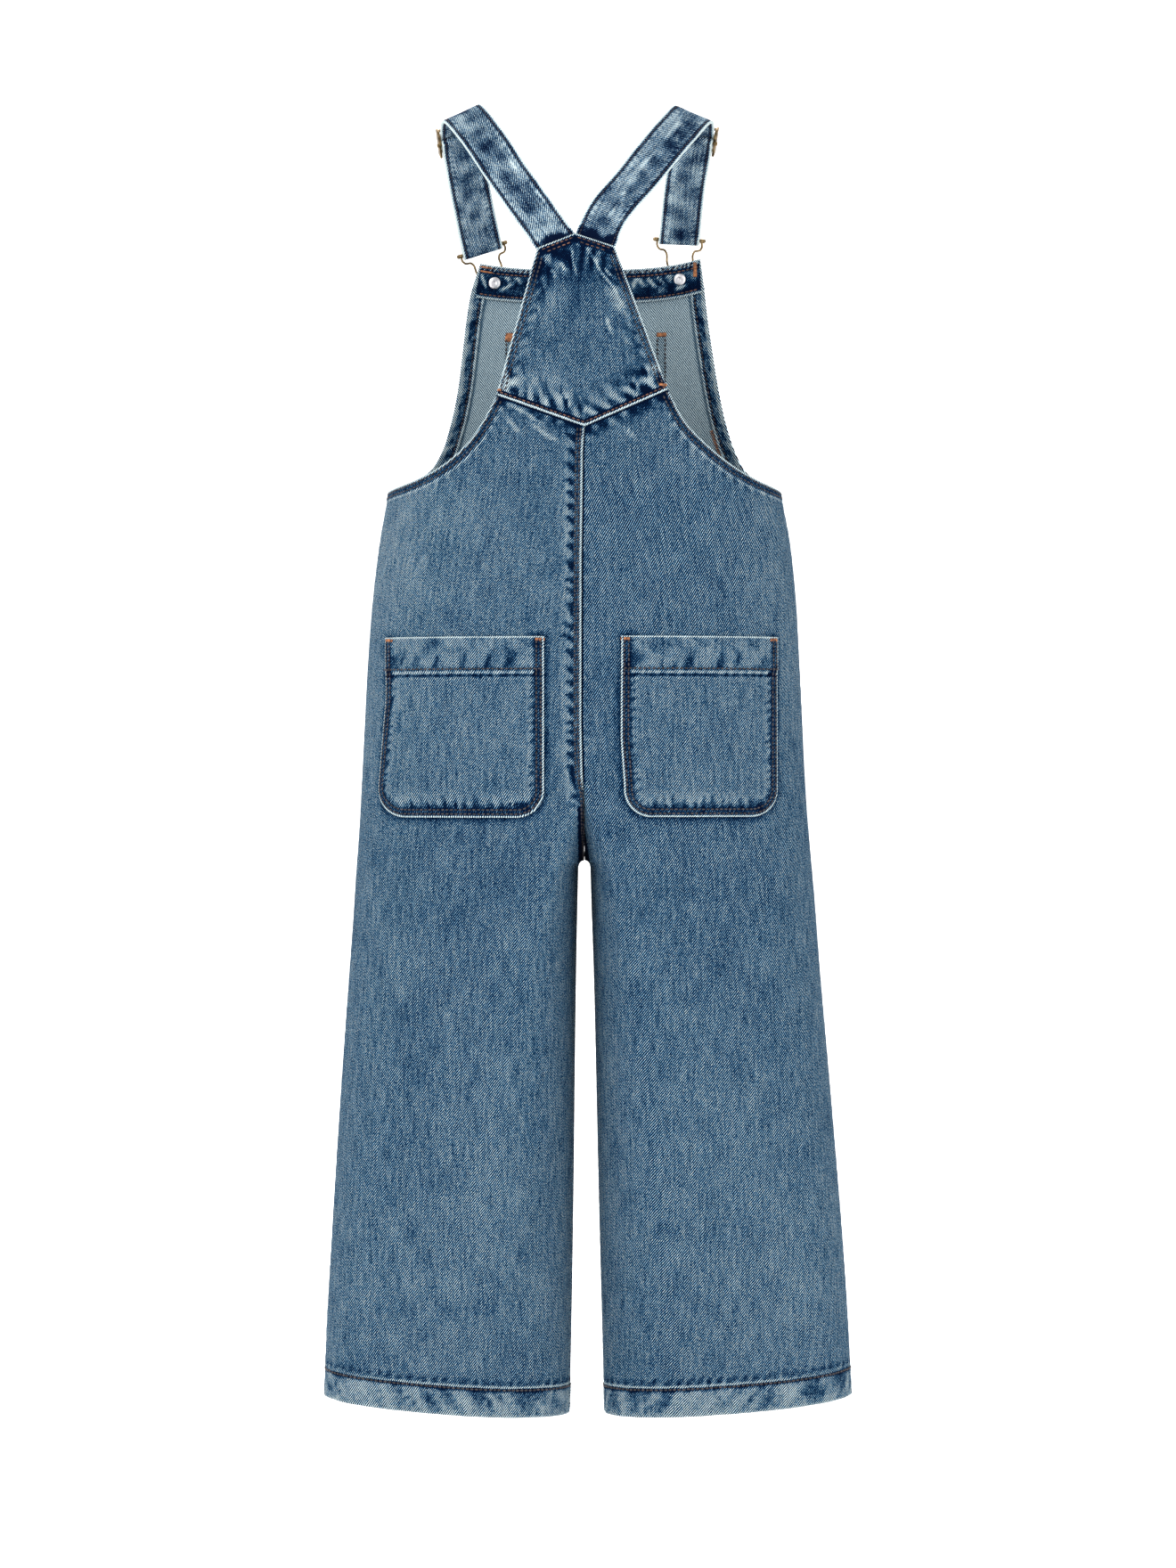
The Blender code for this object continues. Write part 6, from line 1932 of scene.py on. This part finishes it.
def buckle(side):
    """The bar with its knobs, and the wire loop down to the button."""
    centre, _, along, down, out = buckle_frame(side)
    turns = np.radians((90, 66, 42, 18, -6, -30))
    knob = [(KNOB_RADIUS * math.cos(a), KNOB_RADIUS * math.sin(a)) for a in turns]
    half_bar = [(radius, BAR_HALF + height) for radius, height in knob]
    half_bar += [(BAR_RADIUS * 1.12, BAR_HALF - 1.6), (BAR_RADIUS, BAR_HALF - 2.2), (BAR_RADIUS, 6.0)]
    profile = half_bar + [(radius, -height) for radius, height in reversed(half_bar)]
    bar = turned_piece(profile, centre, along, 24)
    route = [centre + along * across + down * share for across, share in WIRE_ROUTE]
    foot = centre + down
    turn = down.normalized()
    reach = STEM_RADIUS + WIRE_RADIUS + LAY_GAP
    angles = np.radians(range(0, 181, 20))
    arc = [foot + along * reach * math.cos(a) + turn * reach * math.sin(a) for a in angles]
    other = [centre - along * across + down * share for across, share in reversed(WIRE_ROUTE)]
    path = curve_through([np.array(p) for p in route + arc + other], 150)
    wire = tube(path, WIRE_RADIUS, 14, out)
    collars = []
    for end in (-1, 1):
        place = centre + along * end * WIRE_ROUTE[0][0]
        ring = [(0.0, -1.1), (BAR_RADIUS + 0.5, -1.1), (BAR_RADIUS + 0.5, 1.1), (0.0, 1.1)]
        collars.append(turned_piece(eased(ring), place, along, 24))
    name = "buckle_" + SIDE_NAMES[side]
    fitting("brass_" + name, name, [bar, wire, *collars], BRASS)


def button(side):
    """The tack button: a stem from the bib and a rimmed, domed head over the wire."""
    _, foot, _, _, out = buckle_frame(side)
    under = WIRE_LIFT + WIRE_RADIUS + LAY_GAP
    head = ((0.94, 0.0), (1.0, 0.5), (1.0, 1.3), (0.93, 1.85), (0.82, 1.75), (0.74, 1.95), (0.4, 2.45))
    profile = [(0.0, SEAM_GAP), (STEM_RADIUS, SEAM_GAP), (STEM_RADIUS, under)]
    profile += [(BUTTON_RADIUS * share, under + height) for share, height in head]
    profile.append((0.0, under + BUTTON_THICK))
    name = "button_" + SIDE_NAMES[side]
    fitting("brass_" + name, name, [turned_piece(eased(profile), foot, out, 40)], BRASS)


def rivet(side):
    """The button's round back, inside the bib on its facing, with a small dimple in its middle."""
    _, foot, _, _, out = buckle_frame(side)
    base = foot - out * (2 * DENIM + LAY_GAP + SEAM_GAP)
    dome = ((1.0, 0.0), (1.0, 0.42), (0.86, 0.74), (0.6, 0.94), (0.36, 1.0), (0.27, 0.9), (0.22, 0.55))
    profile = [(0.0, 0.0), *((RIVET_RADIUS * wide, RIVET_THICK * tall) for wide, tall in dome)]
    profile.append((0.0, RIVET_THICK * 0.5))
    name = "rivet_" + SIDE_NAMES[side]
    fitting("silver_" + name, name, [turned_piece(eased(profile, 0.3), base, -out, 40)], SILVER)


def slider(side):
    """A frame round the strap: two rails, top and bottom bars outside, a middle bar between the layers."""
    layers = strap_layers(side)
    at = layers["top"]
    wide, out = Vector(layers["across"][at]), Vector(layers["normal"][at])
    centre = Vector(layers["middle"][at])
    step = 2 * STRAP_DETAIL
    tall = Vector(layers["middle"][at - step] - layers["middle"][at + step]).normalized()
    front_face = LOOP_REACH + STRAP_CLOTH / 2 + LAY_GAP
    rail_place = STRAP_WIDTH / 2 + SLIDER_PLAY + SLIDER_RAIL / 2
    back_lip, front_lip = SLIDER_BAR / 2 + SLIDER_LIP, front_face + SLIDER_BAR + SLIDER_LIP
    rail_size = (SLIDER_RAIL, SLIDER_TALL, front_lip + back_lip)
    axes = (wide, tall, out)
    parts = []
    for end in (-1, 1):
        place = centre + wide * end * rail_place + out * (front_lip - back_lip) / 2
        parts.append(soft_box(place, axes, rail_size, 0.55))
        place = centre + tall * end * (SLIDER_TALL / 2 - SLIDER_BAR) + out * (front_face + SLIDER_BAR / 2)
        parts.append(soft_box(place, axes, (2 * rail_place, SLIDER_BAR, SLIDER_BAR), 0.5))
    reach = rail_place + SLIDER_RAIL / 2 + MIDDLE_BAR_PAST
    line = [centre + wide * reach * share for share in np.linspace(-0.97, 0.97, 12)]
    parts.append(tube(line, SLIDER_BAR / 2, 18, out))
    for end in (-1, 1):
        place = centre + wide * end * (reach - 0.7)
        knob = [(0.0, -0.7), (1.55, -0.7), (1.7, 0.0), (1.35, 0.75), (0.0, 0.9)]
        parts.append(turned_piece(eased(knob), place, wide * end, 20))
    name = "slider_" + SIDE_NAMES[side]
    fitting("brass_" + name, name, parts, BRASS)


brown_rows = Stitching("stitches_brown", BROWN_THREAD)
rust_rows = Stitching("stitches_rust", RUST_THREAD)
orange_rows = Stitching("stitches_orange", ORANGE_THREAD)
for side in (LEFT, RIGHT):
    for face in (BACK, FRONT):
        panel(side, face, brown_rows)
yoke(brown_rows, rust_rows, orange_rows)
bib(brown_rows, orange_rows)
bib_facing(brown_rows, rust_rows, orange_rows)
for pocket_row in (*BACK_POCKETS, BIB_POCKET):
    patch_pocket(pocket_row, brown_rows, orange_rows)
for side in (LEFT, RIGHT):
    strap(side, brown_rows)
    buckle(side)
    button(side)
    rivet(side)
    slider(side)
for rows in (brown_rows, rust_rows, orange_rows):
    rows.build()

# ---------------------------------------------------------------- stage, lights and camera

PHOTO_SCALE = 0.677
CAMERA_AWAY = 4000.0
CAMERA_X, CAMERA_Z = -2.7, -513.5
FRAME_TALL = 1760 * PHOTO_SCALE
SENSOR = 36.0
FLOOR_Z = -1.13
# The paper reaches past the cameras of the other views, and its wall stands beyond them (m)
FLOOR_HALF_WIDTH, FLOOR_END, WALL_Y, WALL_TALL, WALL_BEND = 9.0, 12.0, -7.0, 4.2, 1.2
BEND_PARTS = 13
GARMENT_MIDDLE = (0.0, 0.0, -0.5)
WORLD_LIGHT = 0.75
# Soft lights: place and target (m), size (m) and power (W)
LIGHTS = {
    "key_light": ((1.7, 2.6, 1.2), GARMENT_MIDDLE, 1.6, 62.0),
    "fill_light": ((-2.2, 2.2, 0.2), GARMENT_MIDDLE, 2.0, 26.0),
    "front_light": ((0.6, -2.4, 1.6), GARMENT_MIDDLE, 2.0, 30.0),
    "backdrop_light": ((0.0, -3.8, 3.4), (0.0, -4.6, -1.1), 5.0, 300.0),
}


def stage():
    """A pale floor that curves up into a pale wall, far enough off for a camera to stand on every side."""
    foot = WALL_Y + WALL_BEND
    profile = [(FLOOR_END, 0.0), (foot, 0.0)]
    turn = np.linspace(0, math.pi / 2, BEND_PARTS)[1:]
    profile += [(foot - WALL_BEND * math.sin(a), WALL_BEND - WALL_BEND * math.cos(a)) for a in turn]
    profile.append((WALL_Y, WALL_TALL))
    ends = (-FLOOR_HALF_WIDTH, FLOOR_HALF_WIDTH)
    verts = [(x, y, FLOOR_Z + z) for y, z in profile for x in ends]
    faces = [(2 * k, 2 * k + 1, 2 * k + 3, 2 * k + 2) for k in range(len(profile) - 1)]
    mesh = bpy.data.meshes.new("studio_floor")
    mesh.from_pydata(verts, [], faces)
    mesh.shade_smooth()
    paper = Nodes("studio_paper", 0.95)
    paper.set("Base Color", srgb(250, 250, 250))
    mesh.materials.append(paper.material)
    made = bpy.data.objects.new("studio_floor", mesh)
    bpy.context.scene.collection.objects.link(made)


def area_light(name, place, target, size, power):
    data = bpy.data.lights.new(name, "AREA")
    data.shape, data.size, data.energy = "SQUARE", size, power
    made = bpy.data.objects.new(name, data)
    made.location = place
    made.rotation_euler = (Vector(target) - Vector(place)).to_track_quat("-Z", "Y").to_euler()
    made.visible_camera = False
    bpy.context.scene.collection.objects.link(made)


def lights():
    for name, light in LIGHTS.items():
        area_light(name, *light)
    world = bpy.data.worlds.new("studio")
    world.use_nodes = True
    world.node_tree.nodes["Background"].inputs[0].default_value = (1.0, 1.0, 1.0, 1.0)
    world.node_tree.nodes["Background"].inputs[1].default_value = WORLD_LIGHT
    bpy.context.scene.world = world


def camera():
    data = bpy.data.cameras.new("camera")
    data.sensor_width = SENSOR
    data.lens = SENSOR * CAMERA_AWAY / FRAME_TALL
    data.clip_end = 50.0
    made = bpy.data.objects.new("camera", data)
    made.location = (CAMERA_X * MM, CAMERA_AWAY * MM, CAMERA_Z * MM)
    made.rotation_euler = (math.pi / 2, 0.0, math.pi)
    bpy.context.scene.collection.objects.link(made)
    bpy.context.scene.camera = made


stage()
lights()
camera()
bpy.context.scene.view_settings.view_transform = "Standard"
# The denoiser then keeps the weave, which is as fine as a pixel
bpy.context.scene.cycles.denoising_prefilter = "NONE"
